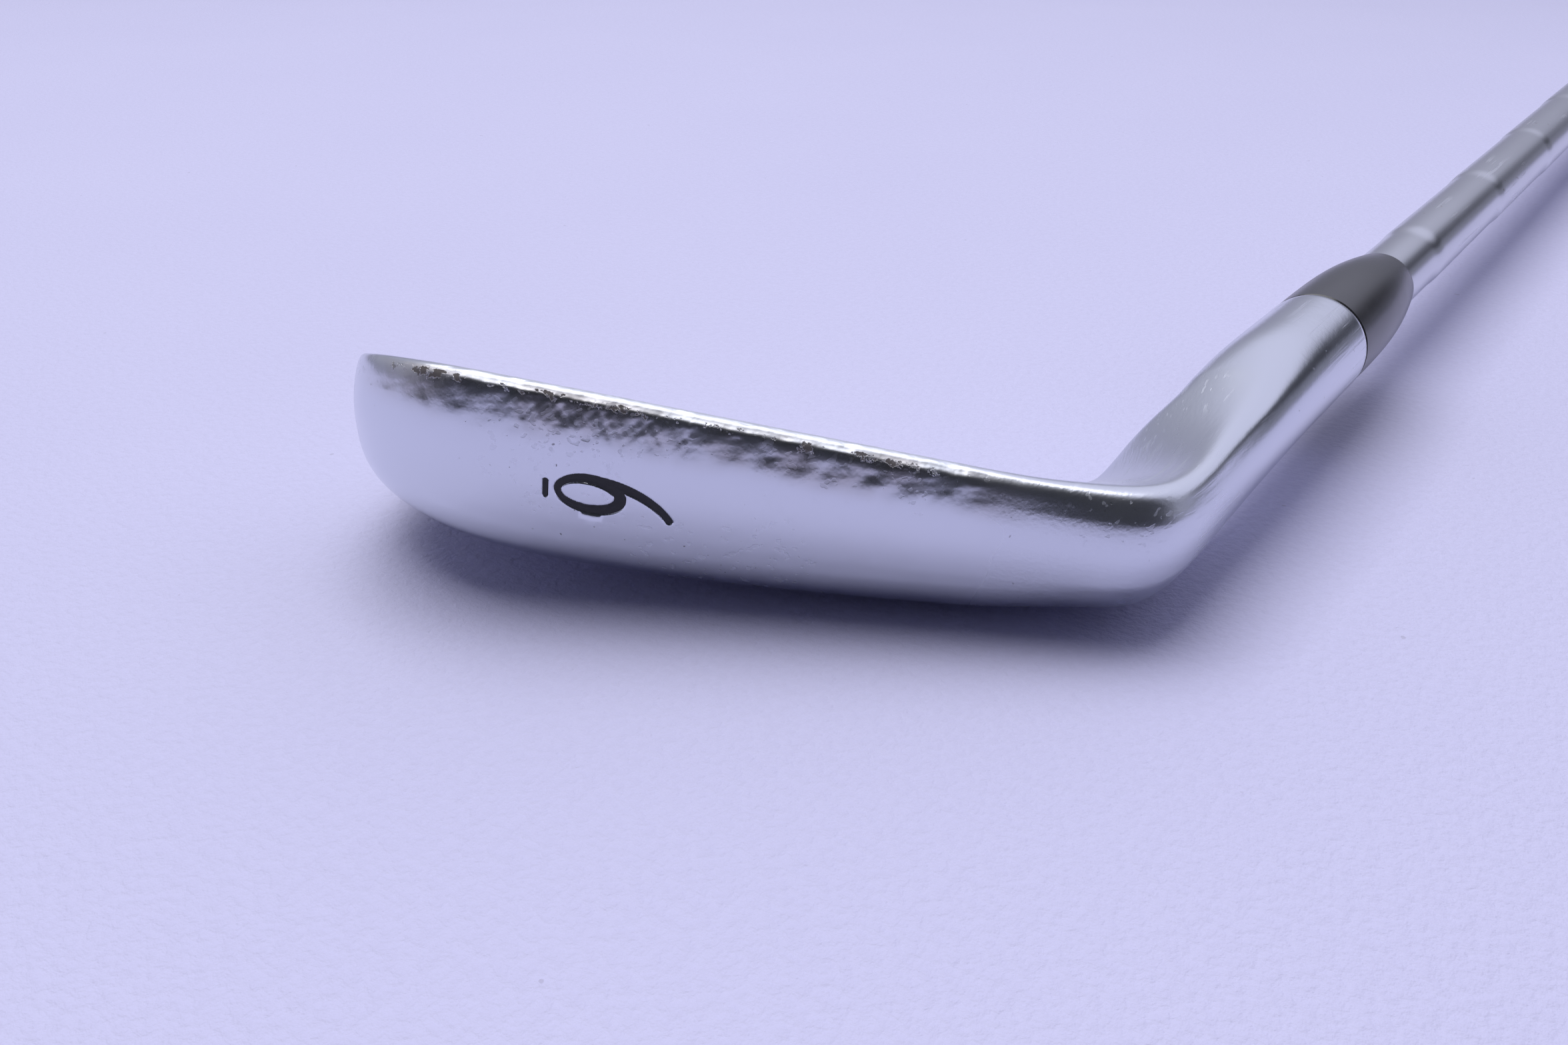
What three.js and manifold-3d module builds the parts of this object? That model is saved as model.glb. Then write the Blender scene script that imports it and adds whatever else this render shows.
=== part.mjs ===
// A right-handed six iron, lying face up on a flat surface.
// Units are millimetres. +Y runs along the shaft from the head to the grip and +Z is up.
// The origin is the middle of the bottom of the club's bounding box.
import * as THREE from "three";
import { mergeVertices } from "three/addons/utils/BufferGeometryUtils.js";
import Module from "manifold-3d";

const wasm = await Module();
wasm.setup();

// ---------------------------------------------------------------- driving dimensions

const degrees = THREE.MathUtils.degToRad;

const CLUB_LENGTH = 952.5; // from the sole to the end of the grip, along the shaft's axis
const LIE = degrees(62); // shaft axis to the ground, with the sole flat on it
const LOFT = degrees(31.5); // face to the vertical
const LYING_ROLL = degrees(10); // how far the toe is turned up, about the shaft, as the club lies
const FIT_GAP = 0.1; // clear space between two pieces that are bonded or pushed together

// Hosel: the round neck. Heights are along the shaft's axis, from the ground.
const HOSEL_RADIUS = 6.75;
const HOSEL_TOP = 63.5;
const HOSEL_CHAMFER = 0.5;
const BORE_DEPTH = 26;
const ADHESIVE_THICKNESS = 0.25;

// Neck: the bend from the hosel into the blade turns about a line square to the shaft.
const NECK_HEIGHT = 36; // of that line, along the shaft's axis
const CROTCH_RADIUS = 9; // inner bend, between the hosel and the top line
const HEEL_ROUNDING = 8; // the heel's outer corner is rounded where its two sides come this close
const BLEND_START = 52; // height on the hosel where the round section starts to change
const BLEND_END = 10; // distance from the axis along the blade where it is all blade

// Blade. Distances towards the toe are from where the shaft's axis meets the ground.
const LEADING_EDGE_AHEAD = 3.47; // of the shaft's axis
const LEADING_EDGE_HEIGHT = 2.3;
const LEADING_EDGE_ROUNDING = 2.1; // how far its rounding runs onto the face and the sole
const BLADE_LENGTH = 79.1;
const TOE_CURVE_START = 58; // where the leading edge starts to rise
const TOE_PEAK = 66; // where the top line is highest
const TOE_PEAK_HEIGHT = 46.5;
const TOE_MIDDLE_HEIGHT = 18.5; // of the toe's furthest point
const SOLE_WIDTH_HEEL = 16.2;
const SOLE_WIDTH = 22.2;
const SOLE_WIDTH_TOE = 9.6;
const SOLE_WIDEST_AT = 54;
const SOLE_TAPER_POWER = 1.6; // how late the sole narrows on its way to the heel
const SOLE_LOWEST_SHARE = 0.36; // where the sole's lowest line lies, from the leading edge
const SOLE_ROUNDING_SHARE = 0.3; // of the sole's width
const TRAILING_EDGE_RISE = 3;
const TRAILING_EDGE_ROUNDING = 4.5;
const MUSCLE_HEIGHT = 9; // thick lower part of the back
const MUSCLE_LEAN = 0.9; // how far the muscle leans back over its height
const MUSCLE_ROUNDING = 3.5;
const SHOULDER_HEIGHT = 5; // of the slope from the muscle in to the thin plate
const SHOULDER_ROUNDING = 5;
const SHOULDER_STEEPEST = 0.6; // furthest the plate may reach back for its height
const PLATE_THICKNESS = 5.2; // of the blade just above the muscle
const TOP_LINE_THICKNESS = 3.8;
const TOP_LINE_THICKNESS_TOE = 7.5;
const TOP_LINE_BACK_ROUNDING = 1.6;
const TOP_LINE_FACE_ROUNDING = 1.2;

// The most that each part of the section may take of the blade's height, where the toe is low.
const EDGE_SHARE = 0.15;
const RISE_SHARE = 0.2;
const MUSCLE_SHARE = 0.3;
const SHOULDER_SHARE = 0.13;
const CORNER_SHARE = 0.46; // the most of a side that one corner's rounding may take

// Scorelines on the face.
const SCORELINES = 10;
const SCORELINE_PITCH = 3.3;
const SCORELINE_FIRST = 4.7; // above the leading edge, along the face
const SCORELINE_WIDTH = 0.9;
const SCORELINE_DEPTH = 0.45;
const SCORELINE_HEEL = 14;
const SCORELINE_TOE = 58;
const SCORELINE_LONGEST = 3; // the line that runs furthest towards the toe, counted from the lowest
const SCORELINE_TOE_STEP = 0.9; // each line further from that one is this much shorter at the toe end
const SCORELINE_BELOW_TOP = 2.5; // a line ends this far below the top line

// Number on the sole, engraved and filled with paint. Its up points to the heel.
const NUMBER_HEIGHT = 11.8;
const NUMBER_CENTRE_X = 7.8;
const NUMBER_CENTRE_Y = 46.8;
const NUMBER_DEPTH = 0.9;
const PAINT_THICKNESS = 0.45;

// Shaft: a stepped steel tube. Heights are along the axis, from the ground.
const TIP_RADIUS = 4.7;
const BUTT_RADIUS = 7.62;
const TIP_WALL = 1.1;
const BUTT_WALL = 0.6;
const STEPS = 16;
const STEP_PITCH = 44.45;
const STEP_SLOPE_LENGTH = 1.5;
const FIRST_STEP = 108;
const WEIGHT_PLUG_LENGTH = 14;

// Ferrule, band, grip.
const FERRULE_LENGTH = 30;
const FERRULE_TOP_WALL = 0.25; // at its thin end, outside the gap to the shaft
const FERRULE_INSET = 0.05; // of its base inside the hosel's rim
const FERRULE_WAIST = 1.5; // how much wider than its top the ferrule still is two thirds of the way up
const BAND_LENGTH = 38;
const BAND_BELOW_GRIP = 30;
const BAND_THICKNESS = 0.15;
const GRIP_LENGTH = 267;
const GRIP_MOUTH_WALL = 1.38; // outside the radius of the shaft's butt
const GRIP_WAIST_WALL = 3.98;
const GRIP_WAIST_FROM_BUTT = 44;
const GRIP_FLARE_EASE = 14; // how far the flare at the butt takes to come level
const GRIP_LIP = 0.6; // the mouth's edge is cut back by this much
const GRIP_BUTT_WALL = 5.68;
const TAPE_THICKNESS = 0.2;
const TAPE_SHORT_OF_MOUTH = 8;
const CAP_THICKNESS = 3.2;
const CAP_EDGE = 1.1;
const VENT_RADIUS = 1.3;

// ---------------------------------------------------------------- derived dimensions

const BORE_BOTTOM = HOSEL_TOP - BORE_DEPTH;
const BORE_RADIUS = TIP_RADIUS + 2 * FIT_GAP + ADHESIVE_THICKNESS;
const GRIP_MOUTH = CLUB_LENGTH - GRIP_LENGTH;
const CAP_BOTTOM = CLUB_LENGTH - CAP_THICKNESS;
const GRIP_CLEAR = 2 * FIT_GAP + TAPE_THICKNESS;
const GRIP_MOUTH_RADIUS = BUTT_RADIUS + GRIP_MOUTH_WALL;
const GRIP_WAIST_RADIUS = BUTT_RADIUS + GRIP_WAIST_WALL;
const GRIP_BUTT_RADIUS = BUTT_RADIUS + GRIP_BUTT_WALL;
const FERRULE_TOP_RADIUS = TIP_RADIUS + FIT_GAP + FERRULE_TOP_WALL;
const PLUG_LEAD = 0.6; // chamfer on the end that goes in first
const ROUND = 32; // facets round a full turn

// The head is drawn with x to the back, y to the toe and z up, the sole on the ground.
const axisAlong = new THREE.Vector3(0, -Math.cos(LIE), Math.sin(LIE));
const axisAcross = new THREE.Vector3(0, Math.sin(LIE), Math.cos(LIE));
const NECK_FROM_AXIS = CROTCH_RADIUS + HOSEL_RADIUS;
const NECK_OUTER = NECK_FROM_AXIS + HOSEL_RADIUS;
const neckCentre = axisAlong
  .clone()
  .multiplyScalar(NECK_HEIGHT)
  .addScaledVector(axisAcross, NECK_FROM_AXIS);
const TOP_LINE_START = neckCentre.z - CROTCH_RADIUS;
const TOP_LINE_RISE = (TOE_PEAK_HEIGHT - TOP_LINE_START) / (TOE_PEAK - neckCentre.y);

// ---------------------------------------------------------------- solids

function solidFrom(geometry) {
  const bare = geometry.clone();
  bare.deleteAttribute("normal");
  bare.deleteAttribute("uv");
  const merged = mergeVertices(bare, 1e-4);
  const mesh = new wasm.Mesh({
    numProp: 3,
    vertProperties: new Float32Array(merged.attributes.position.array),
    triVerts: new Uint32Array(merged.index.array),
  });
  return new wasm.Manifold(mesh);
}

function geometryFrom(solid) {
  const mesh = solid.getMesh();
  const geometry = new THREE.BufferGeometry();
  geometry.setAttribute("position", new THREE.BufferAttribute(mesh.vertProperties, 3));
  geometry.setIndex(new THREE.BufferAttribute(mesh.triVerts, 1));
  const flat = geometry.toNonIndexed();
  flat.computeVertexNormals();
  return flat;
}

// A closed outline of [radius, height] points, turned round the shaft's axis.
function turned(points) {
  const outline = [...points, points[0]].map(([radius, height]) => new THREE.Vector2(radius, height));
  return new THREE.LatheGeometry(outline, ROUND);
}

// ---------------------------------------------------------------- blade sections

const smooth = (from, to, value) => THREE.MathUtils.smoothstep(value, from, to);
const quarter = (share) => Math.sqrt(Math.max(0, 1 - share * share));

function faceX(z) {
  return (z - LEADING_EDGE_HEIGHT) * Math.tan(LOFT) - LEADING_EDGE_AHEAD;
}

function bottomHeight(y) {
  const share = Math.max(0, y - TOE_CURVE_START) / (BLADE_LENGTH - TOE_CURVE_START);
  return TOE_MIDDLE_HEIGHT * (1 - quarter(share));
}

function topHeight(y) {
  const line = TOP_LINE_START + TOP_LINE_RISE * (y - neckCentre.y);
  const share = Math.max(0, y - TOE_PEAK) / (BLADE_LENGTH - TOE_PEAK);
  return TOE_MIDDLE_HEIGHT + (line - TOE_MIDDLE_HEIGHT) * quarter(share);
}

function soleWidth(y) {
  if (y < SOLE_WIDEST_AT) {
    const share = Math.min(1, (SOLE_WIDEST_AT - y) / SOLE_WIDEST_AT);
    return SOLE_WIDTH - (SOLE_WIDTH - SOLE_WIDTH_HEEL) * share ** SOLE_TAPER_POWER;
  }
  const share = (y - SOLE_WIDEST_AT) / (BLADE_LENGTH - SOLE_WIDEST_AT);
  return SOLE_WIDTH_TOE + (SOLE_WIDTH - SOLE_WIDTH_TOE) * quarter(share);
}

// Corners of the blade's section, from the leading edge round by the sole, the back and the top line.
// Each has x, z, how far its rounding reaches, and its direction on the round hosel in degrees.
function bladeCorners(bottom, top, width, topThickness) {
  const height = top - bottom;
  const edge = bottom + Math.min(LEADING_EDGE_HEIGHT, EDGE_SHARE * height);
  const front = faceX(edge);
  const back = front + width;
  const trailing = bottom + Math.min(TRAILING_EDGE_RISE, RISE_SHARE * height);
  const muscle = trailing + Math.min(MUSCLE_HEIGHT, MUSCLE_SHARE * height);
  const plate = muscle + Math.min(SHOULDER_HEIGHT, SHOULDER_SHARE * height);
  const plateBack = faceX(plate) + PLATE_THICKNESS / Math.cos(LOFT);
  const furthestBack = back + SHOULDER_STEEPEST * (plate - trailing);
  const topBack = faceX(top) + topThickness * Math.cos(LOFT);
  const corner = (x, z, reach, turn) => ({ x, z, reach, turn });
  return [
    corner(front, edge, LEADING_EDGE_ROUNDING, 150),
    corner(front + SOLE_LOWEST_SHARE * width, bottom, SOLE_ROUNDING_SHARE * width, 100),
    corner(back, trailing, TRAILING_EDGE_ROUNDING, 45),
    corner(back + MUSCLE_LEAN, muscle, MUSCLE_ROUNDING, 8),
    corner(Math.min(plateBack, furthestBack), plate, SHOULDER_ROUNDING, -22),
    corner(topBack, top - topThickness * Math.sin(LOFT), TOP_LINE_BACK_ROUNDING, -66),
    corner(faceX(top), top, TOP_LINE_FACE_ROUNDING, -112),
  ];
}

const CORNER_POINTS = 4;
const TURN_SPREAD = 0.5; // share of the turn between two corners that their rounded points take up

// Points round a loop of corners, each rounded by a curve, with each point's turn on the hosel.
function roundedLoop(corners) {
  const count = corners.length;
  const at = (i) => corners[(i + count) % count];
  const step = (a, b, share) => new THREE.Vector2(a.x + (b.x - a.x) * share, a.z + (b.z - a.z) * share);
  const turnAt = (i) => at(i).turn - 360 * Math.floor(i / count);
  const loop = [];
  for (let i = 0; i < count; i++) {
    const here = new THREE.Vector2(at(i).x, at(i).z);
    const before = Math.hypot(at(i).x - at(i - 1).x, at(i).z - at(i - 1).z);
    const after = Math.hypot(at(i + 1).x - at(i).x, at(i + 1).z - at(i).z);
    const into = step(at(i), at(i - 1), Math.min(at(i).reach, CORNER_SHARE * before) / before);
    const out = step(at(i), at(i + 1), Math.min(at(i).reach, CORNER_SHARE * after) / after);
    const curve = new THREE.QuadraticBezierCurve(into, here, out);
    for (let j = 0; j <= CORNER_POINTS; j++) {
      const share = j / CORNER_POINTS;
      const toward = share < 0.5 ? turnAt(i - 1) : turnAt(i + 1);
      const turn = turnAt(i) + (toward - turnAt(i)) * TURN_SPREAD * Math.abs(share - 0.5);
      loop.push({ point: curve.getPoint(share), turn });
    }
  }
  return loop;
}

// One ring of the head. A station is a plane that holds the neck's line or one parallel to it:
// centre is a point of that line, lean is the plane's angle from the vertical, inner and outer are
// the ring's nearest and furthest distances from the line, and round is 1 on the hosel, 0 on the blade.
function ring(station) {
  const { centre, lean, inner, outer, round, bottom, width, topThickness, radius } = station;
  const corners = bladeCorners(bottom, bottom + outer - inner, width, topThickness);
  const middle = (inner + outer) / 2;
  const down = new THREE.Vector3(0, -Math.sin(lean), -Math.cos(lean));
  return roundedLoop(corners).map(({ point, turn }) => {
    const x = (1 - round) * point.x + round * radius * Math.cos(degrees(turn));
    const bladeReach = outer - (point.y - bottom);
    const hoselReach = middle + ((outer - inner) / 2) * Math.sin(degrees(turn));
    const reach = (1 - round) * bladeReach + round * hoselReach;
    const place = centre.clone().addScaledVector(down, reach);
    place.x += x;
    return place;
  });
}

// The smaller of two distances, rounded off where they are nearly equal.
function softMin(a, b) {
  const near = Math.max(0, 1 - Math.abs(a - b) / HEEL_ROUNDING);
  return Math.min(a, b) - (HEEL_ROUNDING / 4) * near ** 2;
}

const BEND_LENGTH = LIE * NECK_OUTER; // the neck turns by the lie angle

function roundness(along) {
  const from = NECK_HEIGHT - BLEND_START;
  const to = BEND_LENGTH + BLEND_END - neckCentre.y;
  return 1 - smooth(from, to, along);
}

const HOSEL_STATIONS = 7;

function hoselStations() {
  const below = HOSEL_TOP - HOSEL_CHAMFER;
  const down = (i) => THREE.MathUtils.lerp(below, NECK_HEIGHT, i / HOSEL_STATIONS);
  const heights = [HOSEL_TOP, ...Array.from({ length: HOSEL_STATIONS }, (_, i) => down(i))];
  return heights.map((height, i) => {
    const radius = i === 0 ? HOSEL_RADIUS - HOSEL_CHAMFER : HOSEL_RADIUS;
    return {
      centre: neckCentre.clone().addScaledVector(axisAlong, height - NECK_HEIGHT),
      lean: LIE,
      inner: NECK_FROM_AXIS - radius,
      outer: NECK_FROM_AXIS + radius,
      round: roundness(NECK_HEIGHT - height),
      bottom: 0,
      width: SOLE_WIDTH_HEEL,
      topThickness: TOP_LINE_THICKNESS,
      radius,
    };
  });
}

const BEND_STATIONS = 12;

function bendStations() {
  return Array.from({ length: BEND_STATIONS }, (_, i) => {
    const turn = (LIE * i) / BEND_STATIONS;
    const side = NECK_OUTER / Math.cos(turn);
    const ground = neckCentre.z / Math.cos(LIE - turn);
    return {
      centre: neckCentre,
      lean: LIE - turn,
      inner: CROTCH_RADIUS,
      outer: softMin(side, ground),
      round: roundness((BEND_LENGTH * i) / BEND_STATIONS),
      bottom: 0,
      width: SOLE_WIDTH_HEEL,
      topThickness: TOP_LINE_THICKNESS,
      radius: HOSEL_RADIUS,
    };
  });
}

const BLADE_STATIONS = 16;
const TOE_STATIONS = 12;
const TOE_END_TURN = 0.965; // share of the quarter turn that closes the toe

function bladeDistances() {
  const along = (i) => THREE.MathUtils.lerp(neckCentre.y, TOE_CURVE_START, i / BLADE_STATIONS);
  const blade = Array.from({ length: BLADE_STATIONS }, (_, i) => along(i));
  const toe = Array.from({ length: TOE_STATIONS + 1 }, (_, i) => {
    const turn = (TOE_END_TURN * (Math.PI / 2) * i) / TOE_STATIONS;
    return TOE_CURVE_START + (BLADE_LENGTH - TOE_CURVE_START) * Math.sin(turn);
  });
  return [...blade, ...toe];
}

function bladeStations() {
  return bladeDistances().map((y) => {
    const bottom = bottomHeight(y);
    const toeShare = smooth(TOE_CURVE_START, BLADE_LENGTH, y);
    return {
      centre: new THREE.Vector3(0, y, neckCentre.z),
      lean: 0,
      inner: neckCentre.z - topHeight(y),
      outer: neckCentre.z - bottom,
      round: roundness(BEND_LENGTH + y - neckCentre.y),
      bottom,
      width: soleWidth(y),
      topThickness: TOP_LINE_THICKNESS + (TOP_LINE_THICKNESS_TOE - TOP_LINE_THICKNESS) * toeShare,
      radius: HOSEL_RADIUS,
    };
  });
}

// Joins rings of equal length into one closed skin, with a fan of triangles over each end.
function skin(rings) {
  const size = rings[0].length;
  const points = rings.flat();
  const faces = [];
  for (let i = 0; i + 1 < rings.length; i++) {
    for (let j = 0; j < size; j++) {
      const a = i * size + j;
      const b = i * size + ((j + 1) % size);
      faces.push(a, b + size, b, a, a + size, b + size);
    }
  }
  const closeEnd = (first, flip) => {
    const loop = points.slice(first, first + size);
    const middle = loop.reduce((sum, p) => sum.add(p), new THREE.Vector3()).divideScalar(size);
    const centre = points.push(middle) - 1;
    for (let j = 0; j < size; j++) {
      const pair = [first + j, first + ((j + 1) % size)];
      faces.push(centre, ...(flip ? pair.reverse() : pair));
    }
  };
  closeEnd(0, false);
  closeEnd((rings.length - 1) * size, true);
  const geometry = new THREE.BufferGeometry().setFromPoints(points);
  geometry.setIndex(faces);
  return geometry;
}

function headBlank() {
  const stations = [...hoselStations(), ...bendStations(), ...bladeStations()];
  return solidFrom(skin(stations.map(ring)));
}

// ---------------------------------------------------------------- cuts in the head

const toHead = new THREE.Matrix4().makeBasis(
  new THREE.Vector3(1, 0, 0),
  axisAlong,
  new THREE.Vector3(1, 0, 0).cross(axisAlong),
);

const CUT_OVER = 2; // how far each cutter runs out of the head

function boreCutter() {
  const length = BORE_DEPTH + CUT_OVER;
  const bore = new THREE.CylinderGeometry(BORE_RADIUS, BORE_RADIUS, length, ROUND);
  bore.translate(0, BORE_BOTTOM + length / 2, 0);
  return solidFrom(bore.applyMatrix4(toHead));
}

const faceNormal = new THREE.Vector3(-Math.cos(LOFT), 0, Math.sin(LOFT));
const faceUp = new THREE.Vector3(Math.sin(LOFT), 0, Math.cos(LOFT));

function facePoint(y, up) {
  const foot = new THREE.Vector3(-LEADING_EDGE_AHEAD, y, LEADING_EDGE_HEIGHT);
  return foot.addScaledVector(faceUp, up);
}

function scorelineCutter(index) {
  const up = SCORELINE_FIRST + SCORELINE_PITCH * index;
  const clear = facePoint(0, up).z + SCORELINE_BELOW_TOP;
  const heel = Math.max(SCORELINE_HEEL, neckCentre.y + (clear - TOP_LINE_START) / TOP_LINE_RISE);
  const toe = SCORELINE_TOE - SCORELINE_TOE_STEP * Math.abs(index - SCORELINE_LONGEST);
  const bar = new THREE.BoxGeometry(2 * SCORELINE_DEPTH, toe - heel, SCORELINE_WIDTH);
  const place = new THREE.Matrix4().makeBasis(faceNormal, new THREE.Vector3(0, 1, 0), faceUp);
  place.setPosition(facePoint((heel + toe) / 2, up));
  return solidFrom(bar.applyMatrix4(place));
}

// The number's own plane: right is to the back of the sole, up is to the heel, depth is into the head.
function soleFrame() {
  const bottom = bottomHeight(NUMBER_CENTRE_Y);
  const width = soleWidth(NUMBER_CENTRE_Y);
  const [, lowest, trailing] = bladeCorners(bottom, topHeight(NUMBER_CENTRE_Y), width, TOP_LINE_THICKNESS);
  const slope = 0.5 * Math.atan2(trailing.z - lowest.z, trailing.x - lowest.x);
  const right = new THREE.Vector3(Math.cos(slope), 0, Math.sin(slope));
  const up = new THREE.Vector3(0, -1, 0);
  const out = right.clone().cross(up);
  const place = new THREE.Matrix4().makeBasis(right, up, out);
  const height = Math.max(0, NUMBER_CENTRE_X - lowest.x) * Math.tan(slope) * 0.5;
  place.setPosition(NUMBER_CENTRE_X, NUMBER_CENTRE_Y, height + bottom);
  return place;
}

function extruded(shape, depth) {
  return new THREE.ExtrudeGeometry(shape, { depth, bevelEnabled: false, curveSegments: 20 });
}

// The number is drawn in units of a twelfth of its height, from its middle.
const UNIT = NUMBER_HEIGHT / 12;
const BOWL = { x: -0.47, y: -2.25, right: 1.88, up: 3.2, side: 0.59, end: 0.46 };
const TAIL = { foot: 0.56, tip: 0.42, parts: 16 };
const DASH = { x: -0.3, y: -6.7, right: 0.92, half: 0.27 };

// The bowl of the 6: a ring. Grow widens every stroke by that much on each side.
function bowlShape(grow) {
  const right = BOWL.right * UNIT;
  const up = BOWL.up * UNIT;
  const side = BOWL.side * UNIT + grow;
  const end = BOWL.end * UNIT + grow;
  const shape = new THREE.Shape();
  shape.absellipse(BOWL.x * UNIT, BOWL.y * UNIT, right + side, up + end, 0, 2 * Math.PI, false, 0);
  const hole = new THREE.Path();
  hole.absellipse(BOWL.x * UNIT, BOWL.y * UNIT, right - side, up - end, 0, 2 * Math.PI, true, 0);
  shape.holes.push(hole);
  return shape;
}

// The tail of the 6: a stroke that thins towards its tip, up and to the right.
function tailShape(grow) {
  const point = (x, y) => new THREE.Vector2(x * UNIT, y * UNIT);
  const middle = new THREE.CubicBezierCurve(point(-2.3, -2), point(-2.4, 1.7), point(-1.1, 4.5), point(1, 6));
  const left = [];
  const right = [];
  for (let i = 0; i <= TAIL.parts; i++) {
    const share = i / TAIL.parts;
    const half = THREE.MathUtils.lerp(TAIL.foot, TAIL.tip, share) * UNIT + grow;
    const here = middle.getPoint(share);
    const along = middle.getTangent(share);
    left.push(new THREE.Vector2(here.x - along.y * half, here.y + along.x * half));
    right.unshift(new THREE.Vector2(here.x + along.y * half, here.y - along.x * half));
  }
  return new THREE.Shape([...left, ...right]);
}

// The dash below the 6, with round ends.
function dashShape(grow) {
  const half = DASH.half * UNIT + grow;
  const right = DASH.right * UNIT;
  const shape = new THREE.Shape();
  shape.absarc(right, 0, half, -Math.PI / 2, Math.PI / 2, false);
  shape.absarc(-right, 0, half, Math.PI / 2, 1.5 * Math.PI, false);
  return shape;
}

// A number or dash as a solid. From and to are its two ends along the way out of the sole.
function sixSolid(grow, from, to) {
  const bowl = extruded(bowlShape(grow), to - from);
  const tail = extruded(tailShape(grow), to - from);
  bowl.translate(0, 0, from).applyMatrix4(soleFrame());
  tail.translate(0, 0, from).applyMatrix4(soleFrame());
  return solidFrom(bowl).add(solidFrom(tail));
}

function dashSolid(grow, from, to) {
  const dash = extruded(dashShape(grow), to - from);
  dash.translate(DASH.x * UNIT, DASH.y * UNIT, from).applyMatrix4(soleFrame());
  return solidFrom(dash);
}

function ironHead() {
  let head = headBlank().subtract(boreCutter());
  for (let i = 0; i < SCORELINES; i++) head = head.subtract(scorelineCutter(i));
  head = head.subtract(sixSolid(FIT_GAP, -NUMBER_DEPTH, CUT_OVER));
  head = head.subtract(dashSolid(FIT_GAP, -NUMBER_DEPTH, CUT_OVER));
  return geometryFrom(head);
}

function paintGeometry(solid) {
  const floor = FIT_GAP - NUMBER_DEPTH;
  return geometryFrom(solid(0, floor, floor + PAINT_THICKNESS));
}

// ---------------------------------------------------------------- shaft and what is on it

function shaftRadius(step) {
  return TIP_RADIUS + ((BUTT_RADIUS - TIP_RADIUS) * step) / STEPS;
}

// Outer outline of the shaft between two heights, as [radius, height] points, moved out by a distance.
function shaftOutline(from, to, out) {
  const points = [];
  const radiusAt = (height) => {
    const past = (height - FIRST_STEP) / STEP_PITCH;
    const step = Math.min(STEPS, Math.max(0, Math.floor(past) + 1));
    const into = (past - Math.floor(past)) * STEP_PITCH;
    const slope = Math.min(1, into / STEP_SLOPE_LENGTH);
    const climbing = past >= 0 && past < STEPS;
    return climbing ? shaftRadius(step - 1 + slope) : shaftRadius(step);
  };
  points.push([radiusAt(from) + out, from]);
  for (let i = 0; i < STEPS; i++) {
    const start = FIRST_STEP + i * STEP_PITCH;
    const end = start + STEP_SLOPE_LENGTH;
    if (start > from && start < to) points.push([shaftRadius(i) + out, start]);
    if (end > from && end < to) points.push([shaftRadius(i + 1) + out, end]);
  }
  points.push([radiusAt(to) + out, to]);
  return points;
}

// A layer of even thickness over the shaft between two heights.
function layer(from, to, gap, thickness) {
  const inside = shaftOutline(from, to, gap).reverse();
  return turned([...inside, ...shaftOutline(from, to, gap + thickness)]);
}

const SHAFT_TIP = BORE_BOTTOM + FIT_GAP;
const SHAFT_BUTT = CAP_BOTTOM - FIT_GAP;

function shaft() {
  const outside = shaftOutline(SHAFT_TIP, SHAFT_BUTT, 0);
  const inside = [
    [BUTT_RADIUS - BUTT_WALL, SHAFT_BUTT],
    [BUTT_RADIUS - BUTT_WALL, FIRST_STEP + STEPS * STEP_PITCH],
    [TIP_RADIUS - TIP_WALL, FIRST_STEP],
    [TIP_RADIUS - TIP_WALL, SHAFT_TIP],
  ];
  return turned([...inside, ...outside]);
}

function adhesive() {
  const inner = TIP_RADIUS + FIT_GAP;
  const outer = inner + ADHESIVE_THICKNESS;
  const top = HOSEL_TOP - FIT_GAP;
  return turned([
    [inner, top],
    [inner, SHAFT_TIP],
    [outer, SHAFT_TIP],
    [outer, top],
  ]);
}

function weightPlug() {
  const radius = TIP_RADIUS - TIP_WALL - FIT_GAP;
  const end = SHAFT_TIP + WEIGHT_PLUG_LENGTH;
  const points = [
    [0, SHAFT_TIP],
    [radius - PLUG_LEAD, SHAFT_TIP],
    [radius, SHAFT_TIP + PLUG_LEAD],
    [radius, end],
    [0, end],
  ];
  return new THREE.LatheGeometry(points.map(([r, h]) => new THREE.Vector2(r, h)), ROUND);
}

function ferrule() {
  const base = HOSEL_TOP + FIT_GAP;
  const side = new THREE.CubicBezierCurve(
    new THREE.Vector2(HOSEL_RADIUS - FERRULE_INSET, base),
    new THREE.Vector2(HOSEL_RADIUS + FERRULE_INSET, base + FERRULE_LENGTH / 2),
    new THREE.Vector2(FERRULE_TOP_RADIUS + FERRULE_WAIST, base + (2 * FERRULE_LENGTH) / 3),
    new THREE.Vector2(FERRULE_TOP_RADIUS, base + FERRULE_LENGTH),
  );
  const inner = TIP_RADIUS + FIT_GAP;
  const outside = side.getPoints(14).map((p) => [p.x, p.y]);
  return turned([[inner, base + FERRULE_LENGTH], [inner, base], ...outside]);
}

function band() {
  const top = GRIP_MOUTH - BAND_BELOW_GRIP;
  return layer(top - BAND_LENGTH, top, FIT_GAP, BAND_THICKNESS);
}

function gripTape() {
  return layer(GRIP_MOUTH + TAPE_SHORT_OF_MOUTH, SHAFT_BUTT, FIT_GAP, TAPE_THICKNESS);
}

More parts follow.
